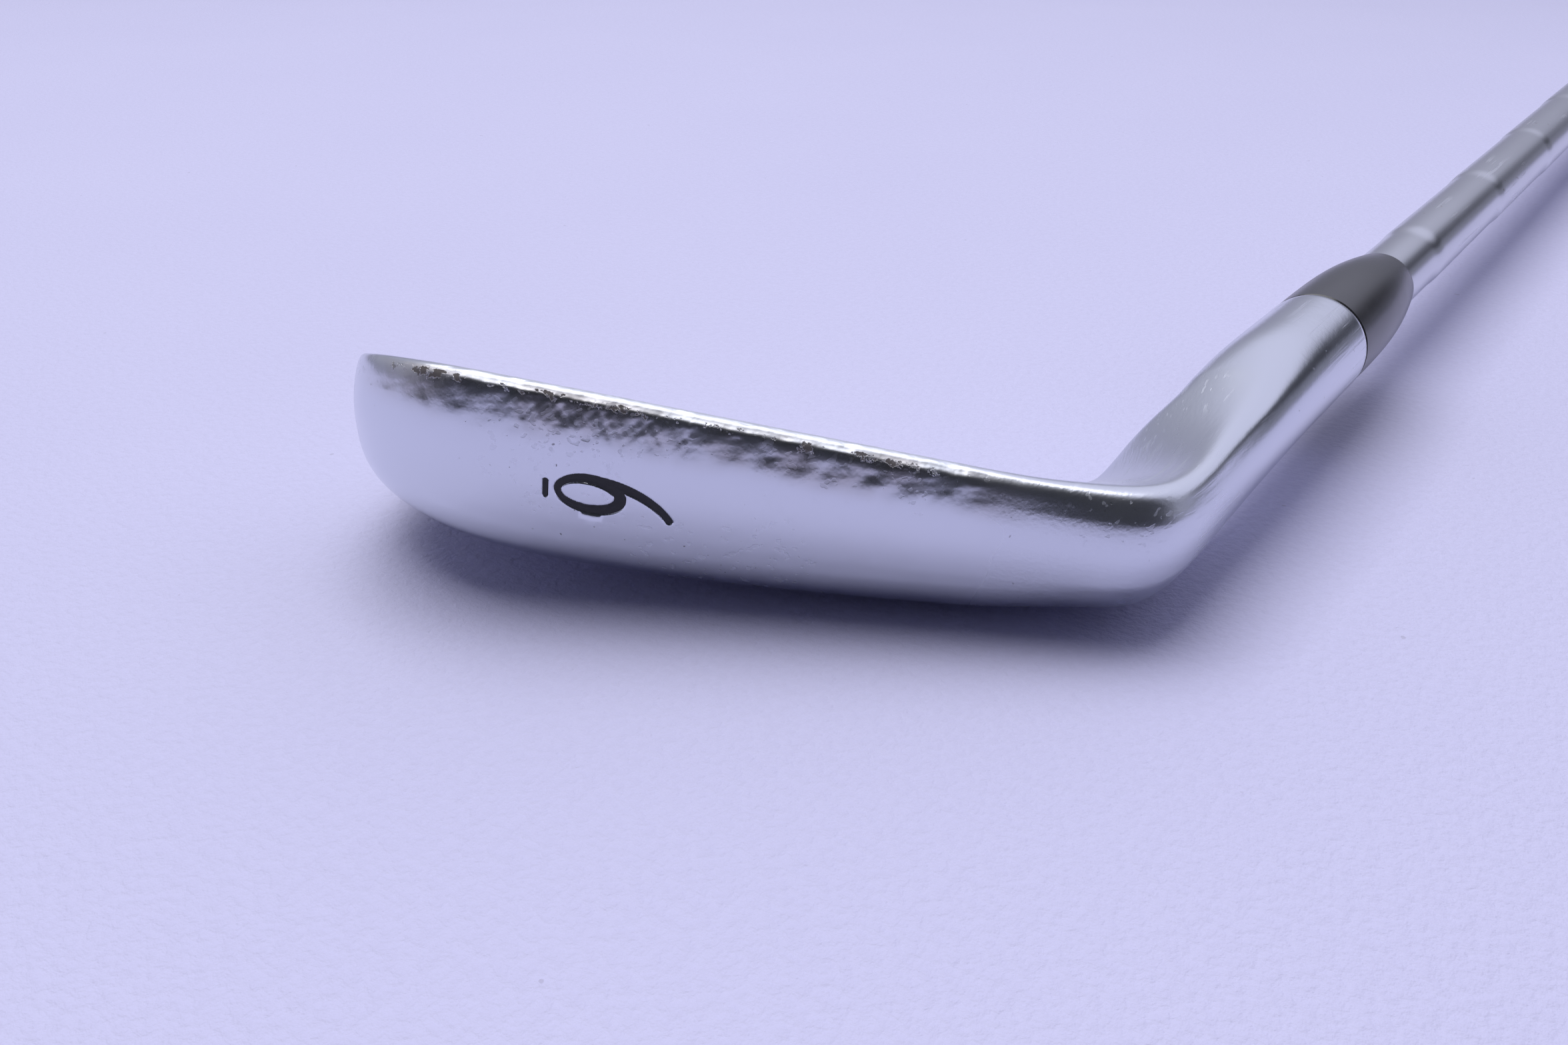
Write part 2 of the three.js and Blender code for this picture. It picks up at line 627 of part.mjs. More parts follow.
function grip() {
  const end = CAP_BOTTOM - FIT_GAP;
  const waist = CLUB_LENGTH - GRIP_WAIST_FROM_BUTT;
  const flare = new THREE.CubicBezierCurve(
    new THREE.Vector2(GRIP_WAIST_RADIUS, waist),
    new THREE.Vector2(GRIP_WAIST_RADIUS, waist + GRIP_FLARE_EASE),
    new THREE.Vector2(GRIP_BUTT_RADIUS, end - GRIP_FLARE_EASE),
    new THREE.Vector2(GRIP_BUTT_RADIUS, end),
  );
  const outside = [
    [GRIP_MOUTH_RADIUS - GRIP_LIP, GRIP_MOUTH],
    [GRIP_MOUTH_RADIUS, GRIP_MOUTH + GRIP_LIP],
    ...flare.getPoints(10).map((p) => [p.x, p.y]),
  ];
  const inside = shaftOutline(GRIP_MOUTH, end, GRIP_CLEAR).reverse();
  return turned([...inside, ...outside]);
}

function gripCap() {
  const inner = GRIP_BUTT_RADIUS - CAP_EDGE;
  return turned([
    [VENT_RADIUS, CLUB_LENGTH],
    [VENT_RADIUS, CAP_BOTTOM],
    [GRIP_BUTT_RADIUS, CAP_BOTTOM],
    [GRIP_BUTT_RADIUS, CLUB_LENGTH - CAP_EDGE],
    [inner, CLUB_LENGTH],
  ]);
}

// ---------------------------------------------------------------- materials and assembly

function finish(color, roughness, metalness) {
  return new THREE.MeshStandardMaterial({ color, roughness, metalness });
}

const chrome = () => finish(0xc6c9dc, 0.12, 1);
const black = (roughness) => finish(0x17181b, roughness, 0);

function piece(name, geometry, material) {
  const mesh = new THREE.Mesh(geometry, material);
  mesh.name = name;
  return mesh;
}

// The head's own axes, turned so that its hosel runs along the shaft, with the face side up.
function headGroup() {
  const group = new THREE.Group();
  const place = new THREE.Matrix4().makeBasis(
    new THREE.Vector3(0, 0, -1),
    new THREE.Vector3(-Math.sin(LIE), -Math.cos(LIE), 0),
    new THREE.Vector3(-Math.cos(LIE), Math.sin(LIE), 0),
  );
  group.applyMatrix4(place);
  group.add(piece("iron_head", ironHead(), chrome()));
  group.add(piece("number_paint_six", paintGeometry(sixSolid), black(0.4)));
  group.add(piece("number_paint_dash", paintGeometry(dashSolid), black(0.4)));
  return group;
}

function shaftGroup() {
  const group = new THREE.Group();
  group.add(piece("shaft", shaft(), finish(0xb9bcc6, 0.2, 1)));
  group.add(piece("hosel_adhesive", adhesive(), finish(0x8a7f63, 0.6, 0)));
  group.add(piece("swing_weight_plug", weightPlug(), finish(0x6d6e70, 0.6, 1)));
  group.add(piece("ferrule", ferrule(), black(0.35)));
  group.add(piece("shaft_band", band(), finish(0x20242c, 0.4, 0)));
  group.add(piece("grip_tape", gripTape(), finish(0xd8d2c0, 0.9, 0)));
  group.add(piece("grip", grip(), black(0.85)));
  group.add(piece("grip_end_cap", gripCap(), black(0.7)));
  return group;
}

// The club rests on the back of the head and on the edge of the grip's butt.
function lying(head, onShaft) {
  const rolled = new THREE.Group();
  rolled.add(head, onShaft);
  rolled.rotation.y = LYING_ROLL;
  rolled.updateMatrixWorld(true);
  const headDrop = -new THREE.Box3().setFromObject(head, true).min.z;
  const pitched = new THREE.Group();
  pitched.add(rolled);
  pitched.rotation.x = -Math.asin((headDrop - GRIP_BUTT_RADIUS) / CLUB_LENGTH);
  return pitched;
}

function golfClub() {
  const club = new THREE.Group();
  club.add(lying(headGroup(), shaftGroup()));
  club.updateMatrixWorld(true);
  const box = new THREE.Box3().setFromObject(club, true);
  club.position.set(-(box.min.x + box.max.x) / 2, -(box.min.y + box.max.y) / 2, -box.min.z);
  return club;
}

export default golfClub();
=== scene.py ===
"""A right-handed six iron lying face up on a pale surface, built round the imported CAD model."""

import math

import bpy
import numpy as np
from mathutils import Matrix, Vector


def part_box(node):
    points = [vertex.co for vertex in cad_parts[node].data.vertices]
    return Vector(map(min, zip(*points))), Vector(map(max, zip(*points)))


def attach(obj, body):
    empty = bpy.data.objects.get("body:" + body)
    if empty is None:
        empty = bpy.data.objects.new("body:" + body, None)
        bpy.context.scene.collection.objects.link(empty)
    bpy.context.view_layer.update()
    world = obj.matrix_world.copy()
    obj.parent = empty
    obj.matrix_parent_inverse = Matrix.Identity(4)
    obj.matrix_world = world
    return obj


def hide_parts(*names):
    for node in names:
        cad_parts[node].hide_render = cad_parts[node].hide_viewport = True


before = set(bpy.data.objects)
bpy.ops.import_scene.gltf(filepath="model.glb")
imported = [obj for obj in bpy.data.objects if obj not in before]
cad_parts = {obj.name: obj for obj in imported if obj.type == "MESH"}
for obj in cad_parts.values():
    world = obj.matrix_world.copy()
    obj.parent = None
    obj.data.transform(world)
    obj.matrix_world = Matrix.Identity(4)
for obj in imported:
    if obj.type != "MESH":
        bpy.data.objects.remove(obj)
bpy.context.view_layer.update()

# ---------------------------------------------------------------- sizes, in millimetres

METRE = 0.001

CLUB_LENGTH = 952.5
LIE = math.radians(62)
LOFT = math.radians(31.5)
LYING_ROLL = math.radians(10)

HOSEL_RADIUS = 6.75
HOSEL_TOP = 63.5
HOSEL_CHAMFER = 0.45
BORE_RADIUS = 5.15
BORE_BOTTOM = 37.5

NECK_HEIGHT = 36
CROTCH_RADIUS = 9
HEEL_ROUNDING = 8
BLEND_START = 52  # height on the hosel where the round section starts to change
BLEND_END = 10  # distance from the axis along the blade where it is all blade

LEADING_EDGE_AHEAD = 3.47
LEADING_EDGE_HEIGHT = 2.3
BLADE_LENGTH = 79.1
TOE_CURVE_START = 58
TOE_PEAK = 66
TOE_PEAK_HEIGHT = 46.5
TOE_MIDDLE_HEIGHT = 18.5
SOLE_WIDTH_HEEL = 16.2
SOLE_WIDTH = 22.2
SOLE_WIDTH_TOE = 9.6
SOLE_WIDEST_AT = 54
SOLE_TAPER_POWER = 1.6  # how late the sole narrows on its way to the heel
TRAILING_EDGE_RISE = 3
MUSCLE_HEIGHT = 9
MUSCLE_LEAN = 0.9
SHOULDER_HEIGHT = 5
SHOULDER_STEEPEST = 0.6
PLATE_THICKNESS = 5.2
TOP_LINE_THICKNESS = 3.8
TOP_LINE_THICKNESS_TOE = 7.5

# How far the rounding of each corner of the section reaches.
LEADING_EDGE_ROUNDING = 2.1
SOLE_ROUNDING_SHARE = 0.3
TRAILING_EDGE_ROUNDING = 4.5
MUSCLE_ROUNDING = 3.5
SHOULDER_ROUNDING = 5
TOP_LINE_BACK_ROUNDING = 1.6
TOP_LINE_FACE_ROUNDING = 1.2
CORNER_SHARE = 0.46  # the most of a side that one corner's rounding may take
SOLE_LOWEST_SHARE = 0.36

# The most that each part of the section may take of the blade's height, where the toe is low.
EDGE_SHARE = 0.15
RISE_SHARE = 0.2
MUSCLE_SHARE = 0.3
SHOULDER_SHARE = 0.13

SCORELINES = 10
SCORELINE_PITCH = 3.3
SCORELINE_FIRST = 4.7
SCORELINE_WIDTH = 0.9
SCORELINE_DEPTH = 0.42
SCORELINE_HEEL = 14
SCORELINE_TOE = 58
SCORELINE_LONGEST = 3
SCORELINE_TOE_STEP = 0.9

NUMBER_UNIT = 11.8 / 12
NUMBER_CENTRE = (7.8, 46.8)
ENGRAVING_DEPTH = 0.55
ENGRAVING_WALL = 0.16
PAINT_DEPTH = 0.12

FIT_GAP = 0.1  # clear space between two pieces that are bonded or pushed together

SHAFT_TIP_RADIUS = 4.7
SHAFT_BUTT_RADIUS = 7.62
SHAFT_WALL = 0.9
STEPS = 16
STEP_PITCH = 44.45
STEP_SLOPE = 5
FIRST_STEP = 108

FERRULE_LENGTH = 30
FERRULE_TOP_RADIUS = 5.05
FERRULE_INSET = 0.05
FERRULE_WAIST = 1.5  # how much wider than its top the ferrule still is two thirds of the way up
BAND_TOP = 655.5
BAND_LENGTH = 38
GRIP_MOUTH = 685.5
GRIP_MOUTH_RADIUS = 9.0
GRIP_WAIST_RADIUS = 11.6
GRIP_BUTT_RADIUS = 13.3
GRIP_WAIST_FROM_BUTT = 44
CAP_BOTTOM = 949.3
CAP_EDGE = 1.1
VENT_RADIUS = 1.3

# ---------------------------------------------------------------- where the club lies

# The head has x to the back, y to the toe and z up when the sole is on the ground.
# The place where the shaft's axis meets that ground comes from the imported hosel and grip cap.
AXIS_IN_HEAD = np.array([0, -math.cos(LIE), math.sin(LIE)])
ACROSS_IN_HEAD = np.array([0, math.sin(LIE), math.cos(LIE)])


def turned_about(axis, angle):
    return np.array(Matrix.Rotation(angle, 3, axis))


def lying_turn():
    """The head's axes in the part's frame, as columns, and where the shaft's axis meets the ground."""
    basis = np.array([
        [0, -math.sin(LIE), -math.cos(LIE)],
        [0, -math.cos(LIE), math.sin(LIE)],
        [-1, 0, 0],
    ])
    rolled = turned_about("Y", LYING_ROLL) @ basis
    plug_low, plug_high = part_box("swing_weight_plug")
    cap_low, cap_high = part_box("grip_end_cap")
    near = (np.array(plug_low) + np.array(plug_high)) / 2
    far = (np.array(cap_low) + np.array(cap_high)) / 2
    along = (far - near) / np.linalg.norm(far - near)
    pitch = math.asin(along[2])
    origin = far - along * (CLUB_LENGTH + CAP_BOTTOM) / 2 * METRE
    return turned_about("X", pitch) @ rolled, origin


HEAD_TURN, SOLE_POINT = lying_turn()


def place_head(points):
    """Head points in millimetres, as points of the part's frame in metres."""
    return np.asarray(points) * METRE @ HEAD_TURN.T + SOLE_POINT


# ---------------------------------------------------------------- meshes


def mesh_piece(name, points, faces, material, smooth=True):
    mesh = bpy.data.meshes.new(name)
    mesh.from_pydata([tuple(p) for p in points], [], [tuple(f) for f in faces])
    mesh.update()
    if smooth:
        mesh.shade_smooth()
    mesh.materials.append(material)
    piece = bpy.data.objects.new(name, mesh)
    bpy.context.scene.collection.objects.link(piece)
    return piece


def point_values(piece, name, values):
    """A number for each vertex, which the material reads by name."""
    attribute = piece.data.attributes.new(name, "FLOAT", "POINT")
    attribute.data.foreach_set("value", np.asarray(values, np.float32).ravel())


def grid_faces(rows, columns, closed_rows=False):
    """Quads between neighbouring rows of a grid whose columns go right round."""
    i, j = np.meshgrid(np.arange(rows if closed_rows else rows - 1), np.arange(columns), indexing="ij")
    k = (j + 1) % columns
    below = (i + 1) % rows
    corners = [i * columns + j, i * columns + k, below * columns + k, below * columns + j]
    return np.stack(corners, -1).reshape(-1, 4)


def turned_piece(name, profile, material, facets=128, closed=True):
    """A profile of [radius, height] points turned round the shaft's axis."""
    turns = np.linspace(0, 2 * math.pi, facets, endpoint=False)
    profile = np.asarray(profile, float)
    x = np.outer(profile[:, 0], np.cos(turns))
    across = np.outer(profile[:, 0], np.sin(turns))
    height = np.repeat(profile[:, 1:], facets, 1)
    points = x[..., None] * [1, 0, 0] + across[..., None] * ACROSS_IN_HEAD + height[..., None] * AXIS_IN_HEAD
    faces = grid_faces(len(profile), facets, closed)[:, ::-1]
    piece = mesh_piece(name, place_head(points.reshape(-1, 3)), faces, material)
    point_values(piece, "height", height)
    return piece


def sharpen(piece, degrees):
    """Edges that turn by more than this stay crisp."""
    piece.data.set_sharp_from_angle(angle=math.radians(degrees))


def arc(centre, radius, start, end, count):
    """Points of a round corner, with its angles in degrees."""
    turns = np.radians(np.linspace(start, end, count))
    return [[centre[0] + radius * math.cos(t), centre[1] + radius * math.sin(t)] for t in turns]


def bezier(a, b, c, d, count):
    t = np.linspace(0, 1, count)[:, None]
    a, b, c, d = (np.asarray(p, float) for p in (a, b, c, d))
    return (1 - t) ** 3 * a + 3 * t * (1 - t) ** 2 * b + 3 * t * t * (1 - t) * c + t ** 3 * d


# ---------------------------------------------------------------- the head's form

NECK_FROM_AXIS = CROTCH_RADIUS + HOSEL_RADIUS
NECK_OUTER = NECK_FROM_AXIS + HOSEL_RADIUS
NECK_CENTRE = NECK_HEIGHT * AXIS_IN_HEAD + NECK_FROM_AXIS * ACROSS_IN_HEAD
TOP_LINE_START = NECK_CENTRE[2] - CROTCH_RADIUS
TOP_LINE_RISE = (TOE_PEAK_HEIGHT - TOP_LINE_START) / (TOE_PEAK - NECK_CENTRE[1])
BEND_LENGTH = LIE * NECK_OUTER


def smooth(start, end, value):
    t = np.clip((value - start) / (end - start), 0, 1)
    return t * t * (3 - 2 * t)


def quarter(share):
    return math.sqrt(max(0.0, 1 - share * share))


def face_x(z):
    return (z - LEADING_EDGE_HEIGHT) * math.tan(LOFT) - LEADING_EDGE_AHEAD


def bottom_height(y):
    share = max(0, y - TOE_CURVE_START) / (BLADE_LENGTH - TOE_CURVE_START)
    return TOE_MIDDLE_HEIGHT * (1 - quarter(share))


def top_height(y):
    line = TOP_LINE_START + TOP_LINE_RISE * (y - NECK_CENTRE[1])
    share = max(0, y - TOE_PEAK) / (BLADE_LENGTH - TOE_PEAK)
    return TOE_MIDDLE_HEIGHT + (line - TOE_MIDDLE_HEIGHT) * quarter(share)


def sole_width(y):
    if y < SOLE_WIDEST_AT:
        share = min(1, (SOLE_WIDEST_AT - y) / SOLE_WIDEST_AT)
        return SOLE_WIDTH - (SOLE_WIDTH - SOLE_WIDTH_HEEL) * share ** SOLE_TAPER_POWER
    share = (y - SOLE_WIDEST_AT) / (BLADE_LENGTH - SOLE_WIDEST_AT)
    return SOLE_WIDTH_TOE + (SOLE_WIDTH - SOLE_WIDTH_TOE) * quarter(share)


def blade_corners(bottom, top, width, top_thickness):
    """Corners of the blade's section: x, z, reach of the rounding, and direction on the round hosel.
    They go from the leading edge round by the sole, the back and the top line."""
    height = top - bottom
    edge = bottom + min(LEADING_EDGE_HEIGHT, EDGE_SHARE * height)
    front = face_x(edge)
    back = front + width
    trailing = bottom + min(TRAILING_EDGE_RISE, RISE_SHARE * height)
    muscle = trailing + min(MUSCLE_HEIGHT, MUSCLE_SHARE * height)
    plate = muscle + min(SHOULDER_HEIGHT, SHOULDER_SHARE * height)
    plate_back = face_x(plate) + PLATE_THICKNESS / math.cos(LOFT)
    plate_back = min(plate_back, back + SHOULDER_STEEPEST * (plate - trailing))
    top_back = face_x(top) + top_thickness * math.cos(LOFT)
    return [
        (front, edge, LEADING_EDGE_ROUNDING, 150),
        (front + SOLE_LOWEST_SHARE * width, bottom, SOLE_ROUNDING_SHARE * width, 100),
        (back, trailing, TRAILING_EDGE_ROUNDING, 45),
        (back + MUSCLE_LEAN, muscle, MUSCLE_ROUNDING, 8),
        (plate_back, plate, SHOULDER_ROUNDING, -22),
        (top_back, top - top_thickness * math.sin(LOFT), TOP_LINE_BACK_ROUNDING, -66),
        (face_x(top), top, TOP_LINE_FACE_ROUNDING, -112),
    ]


CORNER_PARTS = 4
SIDE_PARTS = 4
LOOP = CORNER_PARTS + SIDE_PARTS  # points per corner and the side after it


def section(corners):
    """The rounded section as rows of x, z and direction on the hosel in radians."""
    count = len(corners)
    places = np.array([c[:2] for c in corners], float)
    turns = np.array([c[3] for c in corners], float)
    rows = []
    for i in range(count):
        here, last, after = places[i], places[i - 1], places[(i + 1) % count]
        into = here + (last - here) * min(corners[i][2] / np.linalg.norm(last - here), CORNER_SHARE)
        out = here + (after - here) * min(corners[i][2] / np.linalg.norm(after - here), CORNER_SHARE)
        turn_back = turns[i - 1] + (360 if i == 0 else 0) - turns[i]
        turn_on = turns[(i + 1) % count] - (360 if i == count - 1 else 0) - turns[i]
        for j in range(CORNER_PARTS + 1):
            t = j / CORNER_PARTS
            point = (1 - t) ** 2 * into + 2 * t * (1 - t) * here + t * t * out
            toward = turn_back if t < 0.5 else turn_on
            rows.append((*point, turns[i] + toward * 0.5 * abs(t - 0.5)))
        following = corners[(i + 1) % count]
        other = places[(i + 1) % count]
        beyond = other + (here - other) * min(following[2] / np.linalg.norm(here - other), CORNER_SHARE)
        for j in range(1, SIDE_PARTS):
            t = j / SIDE_PARTS
            point = out + (beyond - out) * t
            rows.append((*point, turns[i] + turn_on * (0.25 + 0.5 * t)))
    rows = np.array(rows)
    rows[:, 2] = np.radians(rows[:, 2])
    return rows


def roundness(along):
    return 1 - smooth(NECK_HEIGHT - BLEND_START, BEND_LENGTH + BLEND_END - NECK_CENTRE[1], along)


def station(centre, lean, inner, outer, along, bottom, width, top_thickness):
    """A ring of the head in the plane that leans by this angle about the neck's line."""
    shape = section(blade_corners(bottom, bottom + outer - inner, width, top_thickness))
    share = roundness(along)
    down = np.array([0, -math.sin(lean), -math.cos(lean)])
    middle = (inner + outer) / 2
    x = (1 - share) * shape[:, 0] + share * HOSEL_RADIUS * np.cos(shape[:, 2])
    blade_reach = outer - (shape[:, 1] - bottom)
    hosel_reach = middle + (outer - inner) / 2 * np.sin(shape[:, 2])
    reach = (1 - share) * blade_reach + share * hosel_reach
    return centre + reach[:, None] * down + x[:, None] * [1, 0, 0]


HOSEL_RINGS = 9
BEND_RINGS = 12
BLADE_RINGS = 18
TOE_RINGS = 12


def hosel_heights():
    return np.linspace(HOSEL_TOP - HOSEL_CHAMFER, NECK_HEIGHT, HOSEL_RINGS, endpoint=False)


def bend_turns():
    return np.linspace(0, LIE, BEND_RINGS, endpoint=False)


def hosel_rings():
    for height in hosel_heights():
        centre = NECK_CENTRE + AXIS_IN_HEAD * (height - NECK_HEIGHT)
        yield station(centre, LIE, CROTCH_RADIUS, NECK_OUTER, NECK_HEIGHT - height, 0,
                      SOLE_WIDTH_HEEL, TOP_LINE_THICKNESS)


def bend_rings():
    for turn in bend_turns():
        side = NECK_OUTER / math.cos(turn)
        ground = NECK_CENTRE[2] / math.cos(LIE - turn)
        near = max(0, 1 - abs(side - ground) / HEEL_ROUNDING)
        outer = min(side, ground) - HEEL_ROUNDING / 4 * near ** 2
        yield station(NECK_CENTRE, LIE - turn, CROTCH_RADIUS, outer, NECK_OUTER * turn, 0,
                      SOLE_WIDTH_HEEL, TOP_LINE_THICKNESS)


def blade_distances():
    straight = np.linspace(NECK_CENTRE[1], TOE_CURVE_START, BLADE_RINGS, endpoint=False)
    turn = np.linspace(0, 0.985 * math.pi / 2, TOE_RINGS + 1)
    return [*straight, *(TOE_CURVE_START + (BLADE_LENGTH - TOE_CURVE_START) * np.sin(turn))]


def blade_rings():
    for y in blade_distances():
        bottom = bottom_height(y)
        thicker = smooth(TOE_CURVE_START, BLADE_LENGTH, y)
        thickness = TOP_LINE_THICKNESS + (TOP_LINE_THICKNESS_TOE - TOP_LINE_THICKNESS) * thicker
        centre = np.array([0, y, NECK_CENTRE[2]])
        inner, outer = NECK_CENTRE[2] - top_height(y), NECK_CENTRE[2] - bottom
        yield station(centre, 0, inner, outer, BEND_LENGTH + y - NECK_CENTRE[1], bottom,
                      sole_width(y), thickness)


# ---------------------------------------------------------------- a smooth skin over the rings


def spline_weights(places, count, closed):
    """Each place's weights on the points of a smooth curve through a row of points."""
    places = np.asarray(places, float)
    first = np.floor(places).astype(int)
    t = places - first
    parts = [
        (1 - t) ** 3 / 6,
        (3 * t ** 3 - 6 * t ** 2 + 4) / 6,
        (-3 * t ** 3 + 3 * t ** 2 + 3 * t + 1) / 6,
        t ** 3 / 6,
    ]
    weights = np.zeros((len(places), count))
    for offset, part in enumerate(parts):
        index = first - 1 + offset
        index = index % count if closed else np.clip(index, 0, count - 1)
        np.add.at(weights, (np.arange(len(places)), index), part)
    return weights


def spread(knots):
    """Places along a spline: pairs of where a stretch starts and how many parts it has, then its end."""
    places = []
    for (start, parts), (end, _) in zip(knots, knots[1:]):
        places.extend(np.linspace(start, end, parts, endpoint=False))
    return np.array([*places, knots[-1][0]])


def ring_places():
    """Places round a section, closest together across the sole where the number is engraved."""

    def corner(i):
        return i * LOOP

    return spread([
        (corner(0), 30), (corner(0) + CORNER_PARTS, 10), (corner(1), 6), (corner(1) + 1.4, 60),
        (corner(1) + CORNER_PARTS - 0.4, 10), (corner(2), 10), (corner(2) + CORNER_PARTS, 4),
        (corner(3), 8), (corner(3) + CORNER_PARTS, 3), (corner(4), 8), (corner(4) + CORNER_PARTS, 10),
        (corner(5), 8), (corner(5) + CORNER_PARTS, 6), (corner(6), 8), (corner(6) + CORNER_PARTS, 0),
    ])


FACE_ROWS_LONGEST = 37.6  # length up the face that holds all the scorelines
SCORELINES_START = SCORELINE_FIRST - 0.7
SCORELINES_END = SCORELINE_FIRST + SCORELINE_PITCH * (SCORELINES - 1) + 1.3
FACE_ROWS = spread([
    (0.2, 6), (SCORELINES_START, 7 * SCORELINES), (SCORELINES_END, 4), (FACE_ROWS_LONGEST, 0)])


def head_places():
    """Places along the head, from the hosel's rim to the toe."""
    blade = HOSEL_RINGS + BEND_RINGS

    def at(y):
        return blade + (y - NECK_CENTRE[1]) / (TOE_CURVE_START - NECK_CENTRE[1]) * BLADE_RINGS

    return spread([
        (0, 20), (HOSEL_RINGS, 66), (blade, 24),
        (at(13.4), 6), (at(14.6), 56), (at(39.8), 124), (at(54.2), 22),
        (at(TOE_CURVE_START), 52), (blade + BLADE_RINGS + TOE_RINGS, 0),
    ])


def hosel_skin(points, share):
    """Draws the skin onto the exact round of the hosel where the section is round."""
    height = points @ AXIS_IN_HEAD
    away = points - height[..., None] * AXIS_IN_HEAD
    radius = np.linalg.norm(away, axis=-1, keepdims=True)
    exact = height[..., None] * AXIS_IN_HEAD + away / radius * HOSEL_RADIUS
    hold = (share ** 6)[:, None, None]
    return points * (1 - hold) + exact * hold


def face_strip(skin, cage_rows, share):
    """Rows of points up the face: evenly spaced on the flat blade, on the cage's own round at the neck."""
    top, foot = skin[:, -1], skin[:, 0]
    length = np.linalg.norm(top - foot, axis=1, keepdims=True)
    squeeze = np.minimum(1, length / FACE_ROWS_LONGEST)
    shares = FACE_ROWS[None, :] * squeeze / length
    shares = np.minimum(shares, 1 - 0.004 * np.arange(len(FACE_ROWS), 0, -1)[None, :])
    flat = (foot[:, None] + (top - foot)[:, None] * shares[..., None])[:, ::-1]
    start = 6 * LOOP + CORNER_PARTS
    places = start + (7 * LOOP - start) * (1 - FACE_ROWS[::-1] / FACE_ROWS_LONGEST)
    places = np.clip(places, start + 0.02, 7 * LOOP - 0.02)
    rounded = np.einsum("aik,bi->abk", cage_rows, spline_weights(places, cage_rows.shape[1], True))
    hold = smooth(0, 0.35, share)[:, None, None]
    return flat * (1 - hold) + rounded * hold


def normals_of(skin):
    along = np.gradient(skin, axis=0)
    round_way = np.roll(skin, -1, 1) - np.roll(skin, 1, 1)
    normal = np.cross(along, round_way)
    return normal / np.maximum(np.linalg.norm(normal, axis=-1, keepdims=True), 1e-9)


def number_frame():
    """Origin and the three ways of the number's plane: right is to the back, up is to the heel."""
    x, y = NUMBER_CENTRE
    corners = blade_corners(bottom_height(y), top_height(y), sole_width(y), TOP_LINE_THICKNESS)
    lowest, trailing = corners[1], corners[2]
    slope = 0.5 * math.atan2(trailing[1] - lowest[1], trailing[0] - lowest[0])
    right = np.array([math.cos(slope), 0, math.sin(slope)])
    up = np.array([0, -1, 0])
    return np.array([x, y, max(0, x - lowest[0]) * math.tan(slope) * 0.5]), right, up


def stroke_distance(right, up, line, half):
    """Distance outside a stroke with this centre line and half width."""
    gaps = np.hypot(right[:, None] - line[None, :, 0], up[:, None] - line[None, :, 1])
    return (gaps - half[None, :]).min(1)


def six_distance(right, up):
    turns = np.linspace(0, 2 * math.pi, 160, endpoint=False)
    bowl = np.stack([-0.47 + 1.88 * np.cos(turns), -2.25 + 3.2 * np.sin(turns)], 1)
    tail = bezier((-2.3, -2), (-2.4, 1.7), (-1.1, 4.5), (1, 6), 90)
    bowl_half = 0.47 + 0.1 * np.cos(turns) ** 2 + 0.12 * np.sin(turns)
    tail_half = np.linspace(0.56, 0.42, len(tail))
    strokes = np.concatenate([bowl, tail]) * NUMBER_UNIT
    return stroke_distance(right, up, strokes, np.concatenate([bowl_half, tail_half]) * NUMBER_UNIT)


def dash_distance(right, up):
    line = np.stack([np.linspace(-1.22, 0.62, 30), np.full(30, -6.7)], 1) * NUMBER_UNIT
    return stroke_distance(right, up, line, np.full(30, 0.27 * NUMBER_UNIT))


def engraving(skin, normal, distance_of):
    """How deep each point lies in an engraved mark, and its distance outside the mark."""
    origin, right_way, up_way = number_frame()
    flat = skin.reshape(-1, 3) - origin
    right, up = flat @ right_way, flat @ up_way
    near = (np.abs(right) < 6) & (np.abs(up) < 9) & (normal.reshape(-1, 3)[:, 2] < -0.5)
    distance = np.full(len(flat), 9.0)
    distance[near] = distance_of(right[near], up[near])
    depth = ENGRAVING_DEPTH * smooth(0.04, 0.04 - ENGRAVING_WALL, distance)
    return depth.reshape(skin.shape[:2]), distance.reshape(skin.shape[:2])


def scoreline_depth(skin, normal):
    face_up = np.array([math.sin(LOFT), 0, math.cos(LOFT)])
    foot = np.array([-LEADING_EDGE_AHEAD, 0, LEADING_EDGE_HEIGHT])
    up, y = (skin - foot) @ face_up, skin[..., 1]
    depth = np.zeros(up.shape)
    for i in range(SCORELINES):
        toe = SCORELINE_TOE - SCORELINE_TOE_STEP * abs(i - SCORELINE_LONGEST)
        across = np.abs(up - SCORELINE_FIRST - SCORELINE_PITCH * i) / (SCORELINE_WIDTH / 2)
        ends = smooth(SCORELINE_HEEL - 0.3, SCORELINE_HEEL + 0.5, y) * smooth(toe + 0.3, toe - 0.5, y)
        depth = np.maximum(depth, SCORELINE_DEPTH * smooth(1.05, 0.15, across) * ends)
    return depth * (normal[..., 0] < -0.6)


def lumps(places, size, seed):
    """Gentle random swells with this size, from a few crossed waves."""
    random = np.random.default_rng(seed)
    total = np.zeros(places.shape[:-1])
    for _ in range(14):
        way = random.normal(size=3)
        way *= random.uniform(0.6, 1.7) / (np.linalg.norm(way) * size)
        total += np.sin(places @ way * 2 * math.pi + random.uniform(0, 6.3))
    return total / 14 ** 0.5


def dents(skin, centres, radius, depth):
    """Round dents of this depth at some points of the skin."""
    total = np.zeros(skin.shape[:2])
    for centre, wide, deep in zip(centres, radius, depth):
        away = np.linalg.norm(skin - centre, axis=-1) / wide
        total += deep * np.exp(-away ** 2 * 2.2)
    return total


